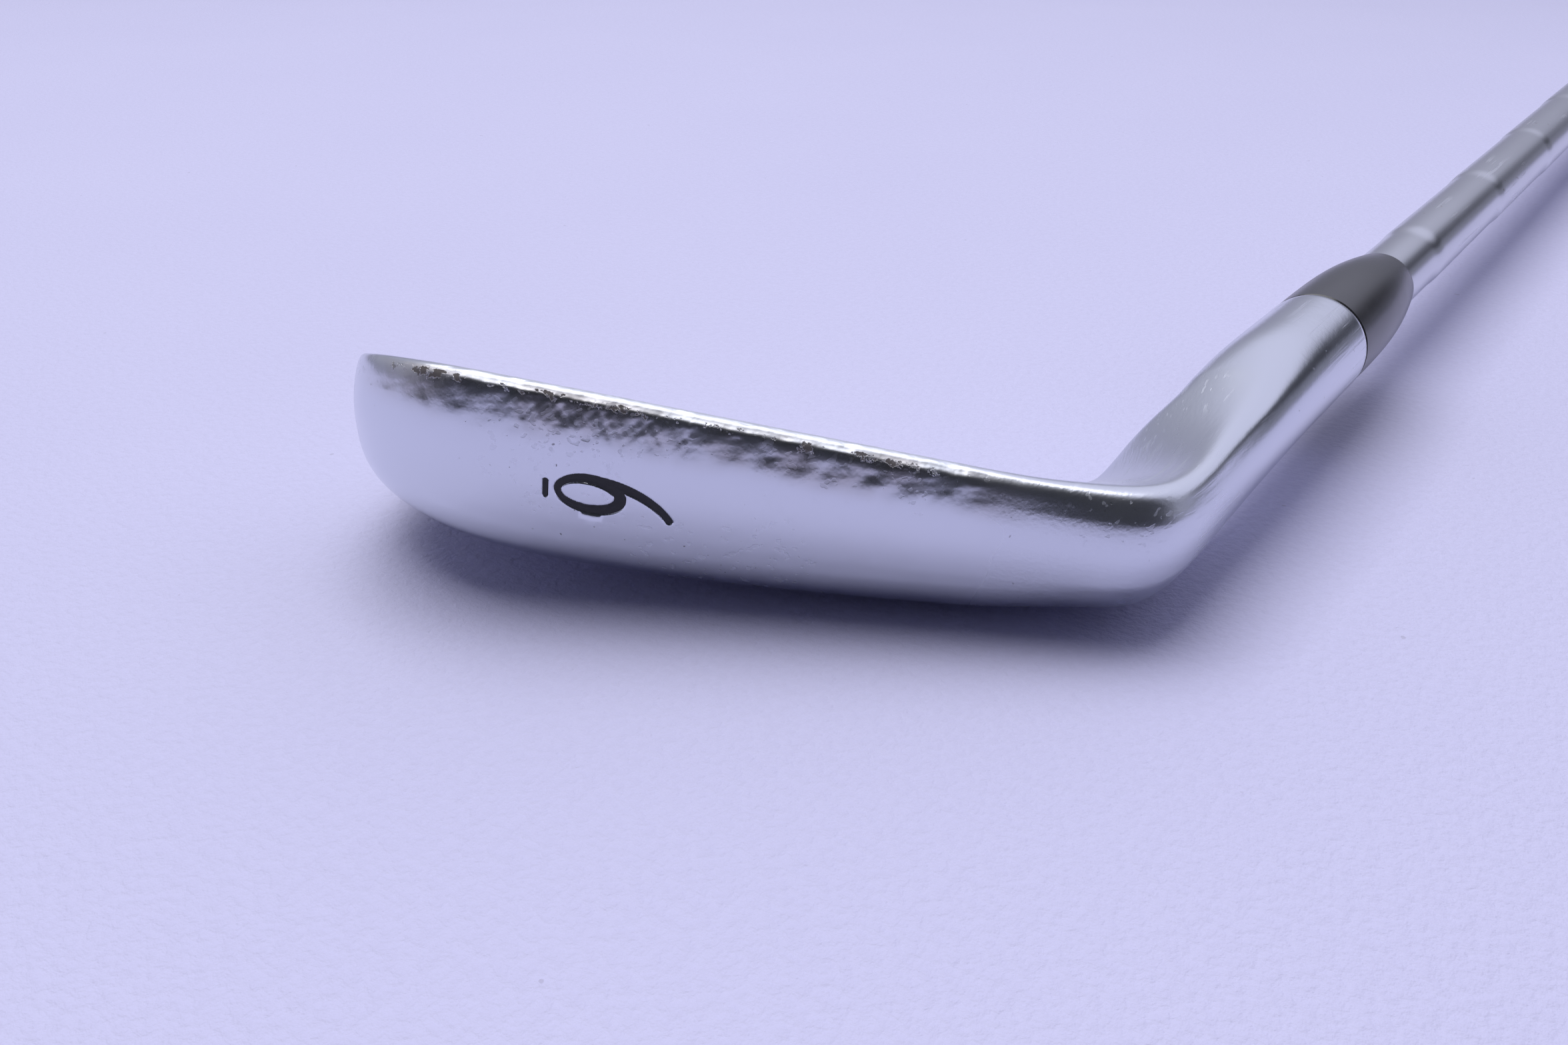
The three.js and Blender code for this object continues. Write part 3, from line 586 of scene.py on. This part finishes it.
def wear(skin, normal):
    """How far play has worn each point in: small swells and dents, mostly along the leading edge."""
    random = np.random.default_rng(6)
    y, ahead = skin[..., 1], -normal[..., 0]
    down = normal[..., 2] < 0
    blade = smooth(4, 16, y) * smooth(79, 66, y)
    edge = smooth(0.5, 0.8, ahead) * smooth(7.5, 3.5, skin[..., 2]) * blade
    lower = smooth(0.1, 0.3, ahead) * smooth(0.97, 0.8, ahead) * down * blade
    chipped = smooth(0.32, 0.5, ahead) * smooth(0.86, 0.7, ahead) * down * blade
    near_edge = smooth(4.5, -0.5, skin[..., 0]) * down * blade
    swells = 0.03 * lumps(skin, 3.2, 3) * near_edge + 0.016 * lumps(skin, 1.3, 11) * np.maximum(lower, edge)
    swells = swells + 0.005 * lumps(skin, 5.0, 5) * blade
    count = 150
    centres = np.stack([
        random.uniform(-3.9, -0.5, count), random.uniform(9, 74, count), random.uniform(0.6, 3.0, count)], 1)
    nicks = dents(skin, centres, random.uniform(0.3, 1.1, count), random.uniform(0.015, 0.07, count))
    return swells + nicks, edge, lower, chipped


def iron_head(material):
    """The whole forged head: one closed skin, with bore, scorelines, engraving and wear."""
    cage = np.array([*hosel_rings(), *bend_rings(), *blade_rings()])
    along, around = head_places(), ring_places()
    lengthwise = spline_weights(along, len(cage), False)
    crosswise = spline_weights(around, cage.shape[1], True)
    cage_rows = np.einsum("ai,ijk->ajk", lengthwise, cage)
    skin = np.einsum("ajk,bj->abk", cage_rows, crosswise)
    share = lengthwise @ np.array([roundness(NECK_HEIGHT - h) for h in station_heights()])
    skin = np.concatenate([skin, face_strip(skin, cage_rows, share)], 1)
    skin = hosel_skin(skin, share)
    normal = normals_of(skin)
    if (normal * (skin - skin.mean(1, keepdims=True))).sum() < 0:
        normal = -normal
    six_depth, six_gap = engraving(skin, normal, six_distance)
    dash_depth, dash_gap = engraving(skin, normal, dash_distance)
    worn, edge, lower, chipped = wear(skin, normal)
    worn *= smooth(-0.1, 0.6, np.minimum(six_gap, dash_gap))
    cut = six_depth + dash_depth + scoreline_depth(skin, normal) + worn
    carved = skin - cut[..., None] * normal
    points, faces, first = closed_head(carved)
    piece = mesh_piece("iron_head_forging", place_head(points), faces, material)
    counts = [first, len(points) - first - carved.shape[0] * carved.shape[1]]
    for name, values in (
            ("edge", edge), ("under_edge", lower), ("chipped", chipped), ("cut", six_depth + dash_depth)):
        flat = np.concatenate([np.zeros(counts[0]), values.ravel(), np.zeros(counts[1])])
        point_values(piece, name, flat)
    along_head = np.concatenate([np.full(counts[0], -30), np.broadcast_to(skin[..., 1:2], (
        *skin.shape[:2], 1)).ravel(), np.full(counts[1], 79)])
    point_values(piece, "toeward", along_head)
    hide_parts("iron_head")
    return piece, skin, normal, six_gap, dash_gap


def station_heights():
    """How far down the neck each ring is, as a height on the hosel that goes on below it."""
    bend = NECK_HEIGHT - NECK_OUTER * bend_turns()
    blade = NECK_HEIGHT - (BEND_LENGTH + np.array(blade_distances()) - NECK_CENTRE[1])
    return [*hosel_heights(), *bend, *blade]


def closed_head(skin):
    """Adds the rim, the bore and the two ends to the skin. Gives points, faces and the skin's first point."""
    columns = skin.shape[1]
    first = skin[0]
    height = first @ AXIS_IN_HEAD
    away = first - height[:, None] * AXIS_IN_HEAD
    away /= np.linalg.norm(away, axis=1, keepdims=True)
    profile = [(BORE_RADIUS, BORE_BOTTOM), (BORE_RADIUS, HOSEL_TOP - 0.15), (BORE_RADIUS + 0.15, HOSEL_TOP)]
    profile += arc((HOSEL_RADIUS - HOSEL_CHAMFER, HOSEL_TOP - HOSEL_CHAMFER), HOSEL_CHAMFER, 90, 12, 6)
    rim = [away * r + AXIS_IN_HEAD * h for r, h in profile]
    rows = np.concatenate([np.array(rim), skin])
    grid = rows.reshape(-1, 3)
    bore_end = AXIS_IN_HEAD * BORE_BOTTOM
    toe_end = skin[-1].mean(0) + [0, 0.02, 0]
    points = np.concatenate([[bore_end], grid, [toe_end]])
    faces = [tuple(f + 1) for f in grid_faces(len(rows), columns)]
    last = 1 + (len(rows) - 1) * columns
    faces += [(0, 1 + (j + 1) % columns, 1 + j) for j in range(columns)]
    faces += [(len(points) - 1, last + j, last + (j + 1) % columns) for j in range(columns)]
    return points, faces, 1 + len(rim) * columns


def paint_piece(name, node, material, skin, normal, gap):
    """A thin layer of paint lying in an engraved mark. Its ragged rim is buried in the mark's walls."""
    inside = gap < 0.12
    keep = inside[:-1, :-1] & inside[1:, :-1] & inside[:-1, 1:] & inside[1:, 1:]
    rows, columns = np.nonzero(keep)
    wide = skin.shape[1]
    corners = np.stack([rows * wide + columns, rows * wide + columns + 1,
                        (rows + 1) * wide + columns + 1, (rows + 1) * wide + columns], 1)
    used, places = np.unique(corners, return_inverse=True)
    top_faces = places.reshape(corners.shape)
    flat_skin, flat_normal = skin.reshape(-1, 3)[used], normal.reshape(-1, 3)[used]
    sag = 0.05 * smooth(-0.1, -0.4, gap.ravel()[used]) + 0.012 * lumps(flat_skin, 1.4, 9)
    top = flat_skin - flat_normal * (PAINT_DEPTH + sag)[:, None]
    low = flat_skin - flat_normal * (ENGRAVING_DEPTH - 0.04)
    count = len(used)
    edges = {}
    for face in top_faces:
        for a, b in zip(face, np.roll(face, -1)):
            edges[(a, b)] = edges.get((a, b), 0) + 1
    rim = [(a, b) for a, b in edges if (b, a) not in edges]
    faces = [tuple(f) for f in top_faces] + [tuple(f[::-1] + count) for f in top_faces]
    faces += [(b, a, a + count, b + count) for a, b in rim]
    piece = mesh_piece(name, place_head(np.concatenate([top, low])), faces, material)
    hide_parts(node)
    return piece


# ---------------------------------------------------------------- shaft, ferrule, band and grip


def shaft_radius(height):
    past = (np.asarray(height, float) - FIRST_STEP) / STEP_PITCH
    whole = np.clip(np.floor(past), -1, STEPS - 1)
    slope = smooth(0, 1, (past - whole) * STEP_PITCH / STEP_SLOPE)
    step = np.where(past < 0, 0, whole + slope)
    return SHAFT_TIP_RADIUS + (SHAFT_BUTT_RADIUS - SHAFT_TIP_RADIUS) * np.clip(step, 0, STEPS) / STEPS


def shaft_heights(start, end):
    heights = [start, end]
    for i in range(STEPS):
        foot = FIRST_STEP + i * STEP_PITCH
        heights.extend(h for h in foot + STEP_SLOPE * np.linspace(-0.2, 1.2, 9) if start < h < end)
    return sorted(heights)


def shaft(material):
    start, end = BORE_BOTTOM + FIT_GAP, CAP_BOTTOM - FIT_GAP
    outside = [[float(shaft_radius(h)), h] for h in shaft_heights(start, end)]
    inside = [[SHAFT_BUTT_RADIUS - SHAFT_WALL, end], [SHAFT_TIP_RADIUS - SHAFT_WALL - 0.2, start]]
    piece = turned_piece("shaft_tube", outside + inside, material, 96)
    sharpen(piece, 40)
    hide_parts("shaft")
    return piece


def ferrule(material):
    base = HOSEL_TOP + FIT_GAP
    top = base + FERRULE_LENGTH
    side = bezier(
        (HOSEL_RADIUS - FERRULE_INSET, base + 0.25),
        (HOSEL_RADIUS + FERRULE_INSET, base + FERRULE_LENGTH / 2),
        (FERRULE_TOP_RADIUS + FERRULE_WAIST, base + 2 * FERRULE_LENGTH / 3),
        (FERRULE_TOP_RADIUS, top - 0.2), 40)
    inner = SHAFT_TIP_RADIUS + 0.02
    profile = [[inner, top], [inner, base], [HOSEL_RADIUS - 0.3, base]]
    profile += [*side.tolist(), [FERRULE_TOP_RADIUS - 0.2, top]]
    piece = turned_piece("ferrule_sleeve", profile, material)
    sharpen(piece, 40)
    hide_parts("ferrule")
    return piece


def band(material):
    start, end = BAND_TOP - BAND_LENGTH, BAND_TOP
    heights = shaft_heights(start, end)
    outside = [[float(shaft_radius(h)) + 0.25, h] for h in heights]
    inside = [[float(shaft_radius(h)) + 0.1, h] for h in heights[::-1]]
    piece = turned_piece("flex_band", outside + inside, material, 96)
    sharpen(piece, 40)
    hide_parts("shaft_band")
    return piece


def grip_radius(height):
    waist = CLUB_LENGTH - GRIP_WAIST_FROM_BUTT
    flare = smooth(0, 1, (height - waist) / (CAP_BOTTOM - waist))
    taper = np.clip((height - GRIP_MOUTH) / (waist - GRIP_MOUTH), 0, 1)
    return GRIP_MOUTH_RADIUS + (GRIP_WAIST_RADIUS - GRIP_MOUTH_RADIUS) * taper + (
        GRIP_BUTT_RADIUS - GRIP_WAIST_RADIUS) * flare


def grip_tread(height, turn):
    """Depth of the moulded pattern: crossed grooves between plain collars."""
    start, end = GRIP_MOUTH + 16, CLUB_LENGTH - 22
    field = smooth(start, start + 1.2, height) * smooth(end, end - 1.2, height)
    bars = 20
    twist = (height - start) / 46 * 2 * math.pi
    lines = [np.abs(((bars * turn / 2 + way * 4 * twist) / math.pi) % 1 - 0.5) for way in (1, -1)]
    groove = np.maximum(smooth(0.1, 0.03, lines[0]), smooth(0.1, 0.03, lines[1]))
    places = (start - 5, start - 2.4, end + 3, end + 5.6)
    collars = sum(smooth(0.7, 0.35, np.abs(height - at)) for at in places)
    return 0.42 * groove * field + 0.4 * collars


def grip(material):
    facets = 240
    heights = np.concatenate([
        GRIP_MOUTH + 0.6 * (1 - np.cos(np.linspace(0, math.pi / 2, 5))),
        np.arange(GRIP_MOUTH + 0.8, CAP_BOTTOM - 0.1, 0.75), [CAP_BOTTOM - 0.1]])
    turns = np.linspace(0, 2 * math.pi, facets, endpoint=False)
    radius = grip_radius(heights)[:, None] - grip_tread(heights[:, None], turns[None, :])
    lip = np.array([0.6, 0.35, 0.15, 0.05, 0])
    radius[:5] -= lip[:, None]
    inside = [GRIP_MOUTH, CAP_BOTTOM - 0.1][::-1]
    radius = np.concatenate([radius, [np.full(facets, float(shaft_radius(h)) + 0.4) for h in inside]])
    heights = np.concatenate([heights, inside])
    points = (radius * np.cos(turns))[..., None] * [1, 0, 0] + (radius * np.sin(turns))[
        ..., None] * ACROSS_IN_HEAD + heights[:, None, None] * AXIS_IN_HEAD
    faces = grid_faces(len(heights), facets, True)[:, ::-1]
    piece = mesh_piece("grip_sleeve", place_head(points.reshape(-1, 3)), faces, material)
    point_values(piece, "height", np.repeat(heights, facets))
    sharpen(piece, 60)
    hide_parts("grip")
    return piece


def grip_cap(material):
    ring = arc((5.6, CLUB_LENGTH - 0.02), 0.45, 180, 0, 7)
    profile = [[VENT_RADIUS, CLUB_LENGTH - 0.2], [VENT_RADIUS, CAP_BOTTOM]]
    profile += [[GRIP_BUTT_RADIUS - 0.15, CAP_BOTTOM], [GRIP_BUTT_RADIUS, CAP_BOTTOM + 0.15]]
    profile += arc((GRIP_BUTT_RADIUS - CAP_EDGE, CLUB_LENGTH - CAP_EDGE), CAP_EDGE, 0, 90, 9)
    profile += [[r, 2 * CLUB_LENGTH - h - 0.04] for r, h in ring[::-1]]
    profile += [[VENT_RADIUS + 0.2, CLUB_LENGTH]]
    piece = turned_piece("grip_butt_cap", profile, material)
    sharpen(piece, 50)
    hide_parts("grip_end_cap")
    return piece


# ---------------------------------------------------------------- shader maths


class Wire:
    """An output socket. Sums, differences and products of wires add Math nodes."""

    def __init__(self, tree, socket):
        self.tree = tree
        self.socket = socket

    def math(self, operation, *values, clamp=False):
        return node(self.tree, "ShaderNodeMath", {"operation": operation, "use_clamp": clamp},
                    dict(enumerate(values)))

    def __add__(self, other):
        return self.math("ADD", self, other)

    def __sub__(self, other):
        return self.math("SUBTRACT", self, other)

    def __rsub__(self, other):
        return self.math("SUBTRACT", other, self)

    def __mul__(self, other):
        return self.math("MULTIPLY", self, other)

    __radd__ = __add__
    __rmul__ = __mul__

    def most(self, other):
        return self.math("MAXIMUM", self, other)

    def clamped(self):
        return self.math("ADD", self, 0.0, clamp=True)

    def ease(self, start, end):
        """0 before start, 1 after end, smooth between. Start may be the larger."""
        flip = start > end
        return node(self.tree, "ShaderNodeMapRange", {"interpolation_type": "SMOOTHSTEP"}, {
            "Value": self, "From Min": min(start, end), "From Max": max(start, end),
            "To Min": float(flip), "To Max": float(not flip)})


def node(tree, kind, settings=None, inputs=None, output=0):
    """Adds a node: its settings first, then the values or wires of its sockets."""
    made = tree.nodes.new(kind)
    for name, value in (settings or {}).items():
        if name == "stops":
            ramp = made.color_ramp
            while len(ramp.elements) < len(value):
                ramp.elements.new(0.5)
            for element, (place, color) in zip(ramp.elements, value):
                element.position = place
                element.color = (*color, 1)
        else:
            setattr(made, name, value)
    for name, value in (inputs or {}).items():
        socket = made.inputs[name]
        if isinstance(value, Wire):
            tree.links.new(value.socket, socket)
        elif hasattr(socket.default_value, "__len__") and len(value) == 3 and len(socket.default_value) == 4:
            socket.default_value = (*value, 1)
        else:
            socket.default_value = value
    return Wire(tree, made.outputs[output])


def new_finish(name):
    """An empty material. Gives it, its tree, its shader node and the object's own coordinates."""
    material = bpy.data.materials.new(name)
    material.use_nodes = True
    tree = material.node_tree
    shader = tree.nodes["Principled BSDF"]
    place = node(tree, "ShaderNodeTexCoord", output=3)
    return material, tree, shader, place


def set_shader(tree, shader, **values):
    for name, value in values.items():
        socket = shader.inputs[name.replace("_", " ").title().replace("Ior", "IOR")]
        if isinstance(value, Wire):
            tree.links.new(value.socket, socket)
        elif isinstance(value, tuple):
            socket.default_value = (*value, 1)
        else:
            socket.default_value = value


def noise(tree, place, scale, detail=3.0, roughness=0.5, distortion=0.0):
    return node(tree, "ShaderNodeTexNoise", {"noise_dimensions": "3D"}, {
        "Vector": place, "Scale": scale, "Detail": detail, "Roughness": roughness, "Distortion": distortion})


def stretched(tree, place, turn, scale):
    """The coordinates turned, then scaled unevenly, for scratches and brush marks."""
    return node(tree, "ShaderNodeMapping", {}, {"Vector": place, "Rotation": turn, "Scale": scale})


def mixed(tree, share, first, second):
    return node(tree, "ShaderNodeMix", {"data_type": "RGBA"}, {0: share, 6: first, 7: second}, output=2)


def bumped(tree, height, distance, strength=1.0, after=None):
    inputs = {"Height": height, "Distance": distance, "Strength": strength}
    if after is not None:
        inputs["Normal"] = after
    return node(tree, "ShaderNodeBump", {}, inputs)


def scratches(tree, place, turn, scale, rarity):
    """Thin marks along one way: 1 on a mark, 0 off it."""
    lines = noise(tree, stretched(tree, place, turn, (scale, scale * 0.035, scale)), 1.0, 1.5)
    where = noise(tree, place, scale * 0.035, 2.0)
    return lines.ease(rarity, rarity + 0.05) * where.ease(0.5, 0.66)


def attribute(tree, name):
    return node(tree, "ShaderNodeAttribute", {"attribute_name": name}, output=2)


# ---------------------------------------------------------------- finishes


def head_chrome():
    """Polished chrome with fine scratches, nicked through to brown steel along the leading edge."""
    material, tree, shader, place = new_finish("polished_worn_chrome")
    edge, under, chipped, cut, toeward = (
        attribute(tree, n) for n in ("edge", "under_edge", "chipped", "cut", "toeward"))
    chips = noise(tree, place, 760, 5.0, 0.68)
    patches = noise(tree, place, 150, 3.0)
    along = toeward.ease(8, 22) * toeward.ease(78, 66)
    chip = (chips + patches * 0.5 + chipped * 0.16).ease(0.95, 1.0) * along * chipped.ease(0.0, 0.5) * 0.85
    blunt = edge * toeward.ease(4, 20) * toeward.ease(72, 54)
    pits = noise(tree, place, 1500, 1.0).ease(0.76, 0.8) * noise(tree, place, 90, 2.0).ease(0.45, 0.62)
    brushed = toeward.ease(16, 8) * toeward.ease(-24, -6)
    warm = patches.ease(0.35, 0.65) * under * 0.45 + cut.ease(0.05, 0.3) * 0.6
    steel = mixed(tree, warm.clamped(), (0.71, 0.735, 0.79), (0.42, 0.36, 0.32))
    color = mixed(tree, (chip + pits * 0.7).clamped(), steel, (0.05, 0.036, 0.028))
    rub = scratches(tree, place, (0.2, 0.5, 0.3), 1300, 0.6)
    rub = rub + scratches(tree, place, (1.1, 0.2, 2.0), 1100, 0.61)
    rub = rub + scratches(tree, place, (2.2, 1.4, 0.7), 1700, 0.62)
    strokes = noise(tree, stretched(tree, place, (0.3, 0.2, 1.9), (2400, 380, 2400)), 1.0, 3.0)
    rough = 0.15 + 0.07 * noise(tree, place, 60, 3.0) + 0.08 * under + 0.12 * edge + rub * 0.14 + chip * 0.4
    rough = rough + brushed * 0.1 + blunt * 0.2
    fine = noise(tree, place, 2200, 3.0, 0.6)
    grain = bumped(tree, fine * 0.6 + strokes * brushed * 2.4, 0.000014, 0.7)
    dimples = noise(tree, place, 420, 3.0)
    soft = bumped(tree, dimples * (0.18 + under * 0.8 + edge * 0.6 + blunt * 1.4), 0.00013, 0.6, grain)
    marks = bumped(tree, 0 - rub * 0.35 - chip * 2 - pits, 0.00003, 0.7, soft)
    set_shader(tree, shader, base_color=color, roughness=rough.clamped(), metallic=1 - chip * 0.75,
               normal=marks)
    return material


def number_enamel():
    material, tree, shader, place = new_finish("black_number_enamel")
    worn = noise(tree, place, 1500, 4.0)
    color = mixed(tree, worn.ease(0.5, 0.75), (0.004, 0.004, 0.006), (0.016, 0.015, 0.016))
    rough = 0.34 + 0.25 * worn
    set_shader(tree, shader, base_color=color, roughness=rough, normal=bumped(tree, worn, 0.00003, 0.4))
    return material


def shaft_plating():
    material, tree, shader, place = new_finish("bright_shaft_plating")
    cloud = noise(tree, place, 45, 3.0)
    rub = scratches(tree, place, (0.0, 0.0, 1.5), 1300, 0.62)
    spots = noise(tree, place, 900, 1.0).ease(0.74, 0.77) * cloud.ease(0.5, 0.6)
    color = mixed(tree, spots.clamped(), (0.66, 0.675, 0.71), (0.2, 0.17, 0.15))
    rough = 0.17 + 0.07 * cloud + rub * 0.14 + spots * 0.3
    draw = noise(tree, stretched(tree, place, (0, 0, 0), (1500, 40, 1500)), 1.0, 2.0)
    normal = bumped(tree, draw - rub * 0.3, 0.00001, 0.5)
    set_shader(tree, shader, base_color=color, roughness=rough, metallic=1.0, normal=normal)
    return material


def ferrule_plastic():
    material, tree, shader, place = new_finish("satin_black_ferrule_plastic")
    cloud = noise(tree, place, 130, 4.0)
    turning = noise(tree, stretched(tree, place, (0, 0, 0), (160, 2600, 160)), 1.0, 2.0)
    dust = noise(tree, place, 1900, 1.0).ease(0.7, 0.76)
    color = mixed(tree, (cloud * 0.5 + dust * 0.3).clamped(), (0.02, 0.02, 0.022), (0.042, 0.042, 0.046))
    rough = 0.17 + 0.1 * cloud + 0.04 * turning
    normal = bumped(tree, turning + dust * 0.5, 0.000012, 0.6)
    set_shader(tree, shader, base_color=color, roughness=rough, normal=normal, specular_ior_level=0.6)
    return material


def band_film():
    """Dark film with two plain pale rings and no lettering."""
    material, tree, shader, place = new_finish("flex_band_film")
    height = attribute(tree, "height")
    middle = BAND_TOP - BAND_LENGTH / 2
    low, high = (height - (middle + way * 14) for way in (-1, 1))
    ring = (low * low).ease(1.7, 1.2).most((high * high).ease(1.7, 1.2))
    grain = noise(tree, place, 700, 3.0)
    color = mixed(tree, ring, (0.018, 0.022, 0.032), (0.55, 0.56, 0.6))
    rough = 0.22 + 0.16 * grain
    set_shader(tree, shader, base_color=color, roughness=rough, normal=bumped(tree, grain, 0.00002, 0.3))
    return material


def grip_rubber():
    material, tree, shader, place = new_finish("moulded_black_rubber")
    cloud = noise(tree, place, 25, 4.0)
    grain = noise(tree, place, 2400, 3.0, 0.6)
    dust = noise(tree, place, 260, 5.0).ease(0.52, 0.75)
    color = mixed(tree, (cloud * 0.4 + dust * 0.35).clamped(), (0.014, 0.014, 0.015), (0.042, 0.041, 0.04))
    rough = 0.68 + 0.2 * cloud
    set_shader(tree, shader, base_color=color, roughness=rough, normal=bumped(tree, grain, 0.00012, 0.5))
    return material


def cap_rubber():
    material, tree, shader, place = new_finish("smooth_black_cap_rubber")
    cloud = noise(tree, place, 120, 4.0)
    grain = noise(tree, place, 1800, 2.0)
    color = mixed(tree, cloud, (0.016, 0.016, 0.017), (0.036, 0.035, 0.035))
    set_shader(tree, shader, base_color=color, roughness=0.5 + 0.2 * cloud,
               normal=bumped(tree, grain, 0.00006, 0.4))
    return material


def cured_epoxy():
    material, tree, shader, place = new_finish("cured_epoxy")
    cloud = noise(tree, place, 300, 3.0)
    color = mixed(tree, cloud, (0.42, 0.36, 0.22), (0.6, 0.54, 0.4))
    set_shader(tree, shader, base_color=color, roughness=0.4 + 0.2 * cloud,
               normal=bumped(tree, cloud, 0.0001, 0.5))
    return material


def plug_metal():
    material, tree, shader, place = new_finish("dull_plug_metal")
    cloud = noise(tree, place, 500, 4.0)
    color = mixed(tree, cloud, (0.28, 0.28, 0.3), (0.42, 0.42, 0.43))
    set_shader(tree, shader, base_color=color, roughness=0.45 + 0.2 * cloud, metallic=1.0,
               normal=bumped(tree, cloud, 0.00005, 0.5))
    return material


def paper_tape():
    material, tree, shader, place = new_finish("paper_grip_tape")
    fibre = noise(tree, stretched(tree, place, (0.5, 0.2, 0.1), (900, 200, 900)), 1.0, 4.0)
    color = mixed(tree, fibre, (0.7, 0.66, 0.55), (0.84, 0.81, 0.72))
    set_shader(tree, shader, base_color=color, roughness=0.75 + 0.15 * fibre,
               normal=bumped(tree, fibre, 0.0001, 0.5))
    return material


def table_top():
    """Pale lilac plastic with a fine grain."""
    material, tree, shader, place = new_finish("pale_lilac_table")
    grain = noise(tree, place, 900, 3.0, 0.6)
    cloud = noise(tree, place, 14, 3.0)
    speck = noise(tree, place, 420, 1.0).ease(0.8, 0.82)
    color = mixed(tree, cloud, (0.625, 0.615, 0.84), (0.65, 0.64, 0.86))
    color = mixed(tree, grain.ease(0.35, 0.65) * 0.07, color, (0.42, 0.4, 0.56))
    color = mixed(tree, speck * 0.35, color, (0.3, 0.28, 0.35))
    set_shader(tree, shader, base_color=color, roughness=0.5 + 0.1 * grain, specular_ior_level=0.3,
               normal=bumped(tree, grain, 0.0003, 0.8))
    return material


# ---------------------------------------------------------------- room


def table():
    reach = 4.0
    corners = [(-reach, -reach, 0), (reach, -reach, 0), (reach, reach, 0), (-reach, reach, 0)]
    piece = mesh_piece("table", corners, [(0, 1, 2, 3)], table_top(), False)


def way_to(azimuth, elevation):
    """A direction: azimuth 0 is away from the grip, 90 is to +X. Angles in degrees."""
    a, e = math.radians(azimuth), math.radians(elevation)
    return Vector((math.sin(a) * math.cos(e), -math.cos(a) * math.cos(e), math.sin(e)))


def room_light():
    """A pale room: bright above and on the far side, dark low down in front and in one patch behind."""
    world = bpy.data.worlds.new("studio")
    bpy.context.scene.world = world
    world.use_nodes = True
    tree = world.node_tree
    way = node(tree, "ShaderNodeTexCoord", output=0)

    def along(direction):
        dot = {"operation": "DOT_PRODUCT"}
        return node(tree, "ShaderNodeVectorMath", dot, {0: way, 1: direction}, output=1)

    def patch(azimuth, elevation, edge, core):
        """1 within the core's angle of this direction, 0 beyond the edge's. Angles in degrees."""
        facing = along(tuple(way_to(azimuth, elevation)))
        return facing.ease(math.cos(math.radians(edge)), math.cos(math.radians(core)))

    height = along((0, 0, 1))
    near_side = patch(35, 12, 84, 58)
    low_band = height.ease(0.08, 0.15) * height.ease(0.33, 0.24) * patch(150, 13, 24, 14)
    far_low = height.ease(0.16, 0.08) * patch(160, 13, 34, 16)
    far_high = height.ease(0.25, 0.4) * patch(160, 13, 75, 30)
    sky = mixed(tree, height.ease(0.0, 0.4), (0.56, 0.57, 0.76), (0.8, 0.82, 1.0))
    sky = mixed(tree, far_high, sky, (1.4, 1.42, 1.8))
    sky = mixed(tree, far_low * 0.5, sky, (0.25, 0.26, 0.34))
    color = mixed(tree, near_side.most(low_band).clamped(), sky, (0.04, 0.043, 0.055))
    background = tree.nodes["Background"]
    tree.links.new(color.socket, background.inputs["Color"])
    background.inputs["Strength"].default_value = 0.52


def soft_box(name, azimuth, elevation, distance, size, power, target, color):
    light = bpy.data.lights.new(name, "AREA")
    light.shape = "RECTANGLE"
    light.size, light.size_y = size
    light.energy = power
    light.color = color
    lamp = bpy.data.objects.new(name, light)
    bpy.context.scene.collection.objects.link(lamp)
    way = way_to(azimuth, elevation)
    lamp.location = target + way * distance
    lamp.rotation_euler = way.to_track_quat("Z", "Y").to_euler()


def studio(head):
    """One large soft light, nearly overhead."""
    soft_box("ceiling_box", 262, 77, 1.5, (1.25, 1.25), 19.5, head, (0.97, 0.97, 1))


def camera():
    """Low, in front of the sole, looking along the shaft towards the grip."""
    lens = bpy.data.cameras.new("camera")
    lens.sensor_width = 36
    lens.lens = 31.8055
    lens.clip_start = 0.005
    body = bpy.data.objects.new("camera", lens)
    bpy.context.scene.collection.objects.link(body)
    eye = place_head(np.array([-66.04, 24.31, -112.34]))
    right = HEAD_TURN @ np.array([-0.1422, -0.9803, 0.1369])
    forward = HEAD_TURN @ np.array([0.5367, 0.0399, 0.8428])
    forward /= np.linalg.norm(forward)
    right -= forward * (right @ forward)
    right /= np.linalg.norm(right)
    up = np.cross(right, forward)
    turn = Matrix([[right[i], up[i], -forward[i]] for i in range(3)])
    body.matrix_world = Matrix.Translation(Vector(eye)) @ turn.to_4x4()
    bpy.context.scene.camera = body


# ---------------------------------------------------------------- the club


def golf_club():
    enamel = number_enamel()
    head, skin, normal, six_gap, dash_gap = iron_head(head_chrome())
    slots = {
        "head_chrome": [head],
        "number_paint": [
            paint_piece("six_paint", "number_paint_six", enamel, skin, normal, six_gap),
            paint_piece("dash_paint", "number_paint_dash", enamel, skin, normal, dash_gap)],
        "shaft_chrome": [shaft(shaft_plating())],
        "ferrule_plastic": [ferrule(ferrule_plastic())],
        "band_film": [band(band_film())],
        "grip_rubber": [grip(grip_rubber())],
        "cap_rubber": [grip_cap(cap_rubber())],
    }
    for slot, pieces in slots.items():
        for piece in pieces:
            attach(piece, "root")
    hidden = {"hosel_adhesive": cured_epoxy(), "swing_weight_plug": plug_metal(), "grip_tape": paper_tape()}
    for name, material in hidden.items():
        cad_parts[name].data.materials.clear()
        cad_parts[name].data.materials.append(material)


golf_club()
table()
room_light()
studio(Vector(SOLE_POINT) + Vector((-0.02, 0.02, 0)))
camera()
bpy.context.scene.view_settings.view_transform = "Standard"
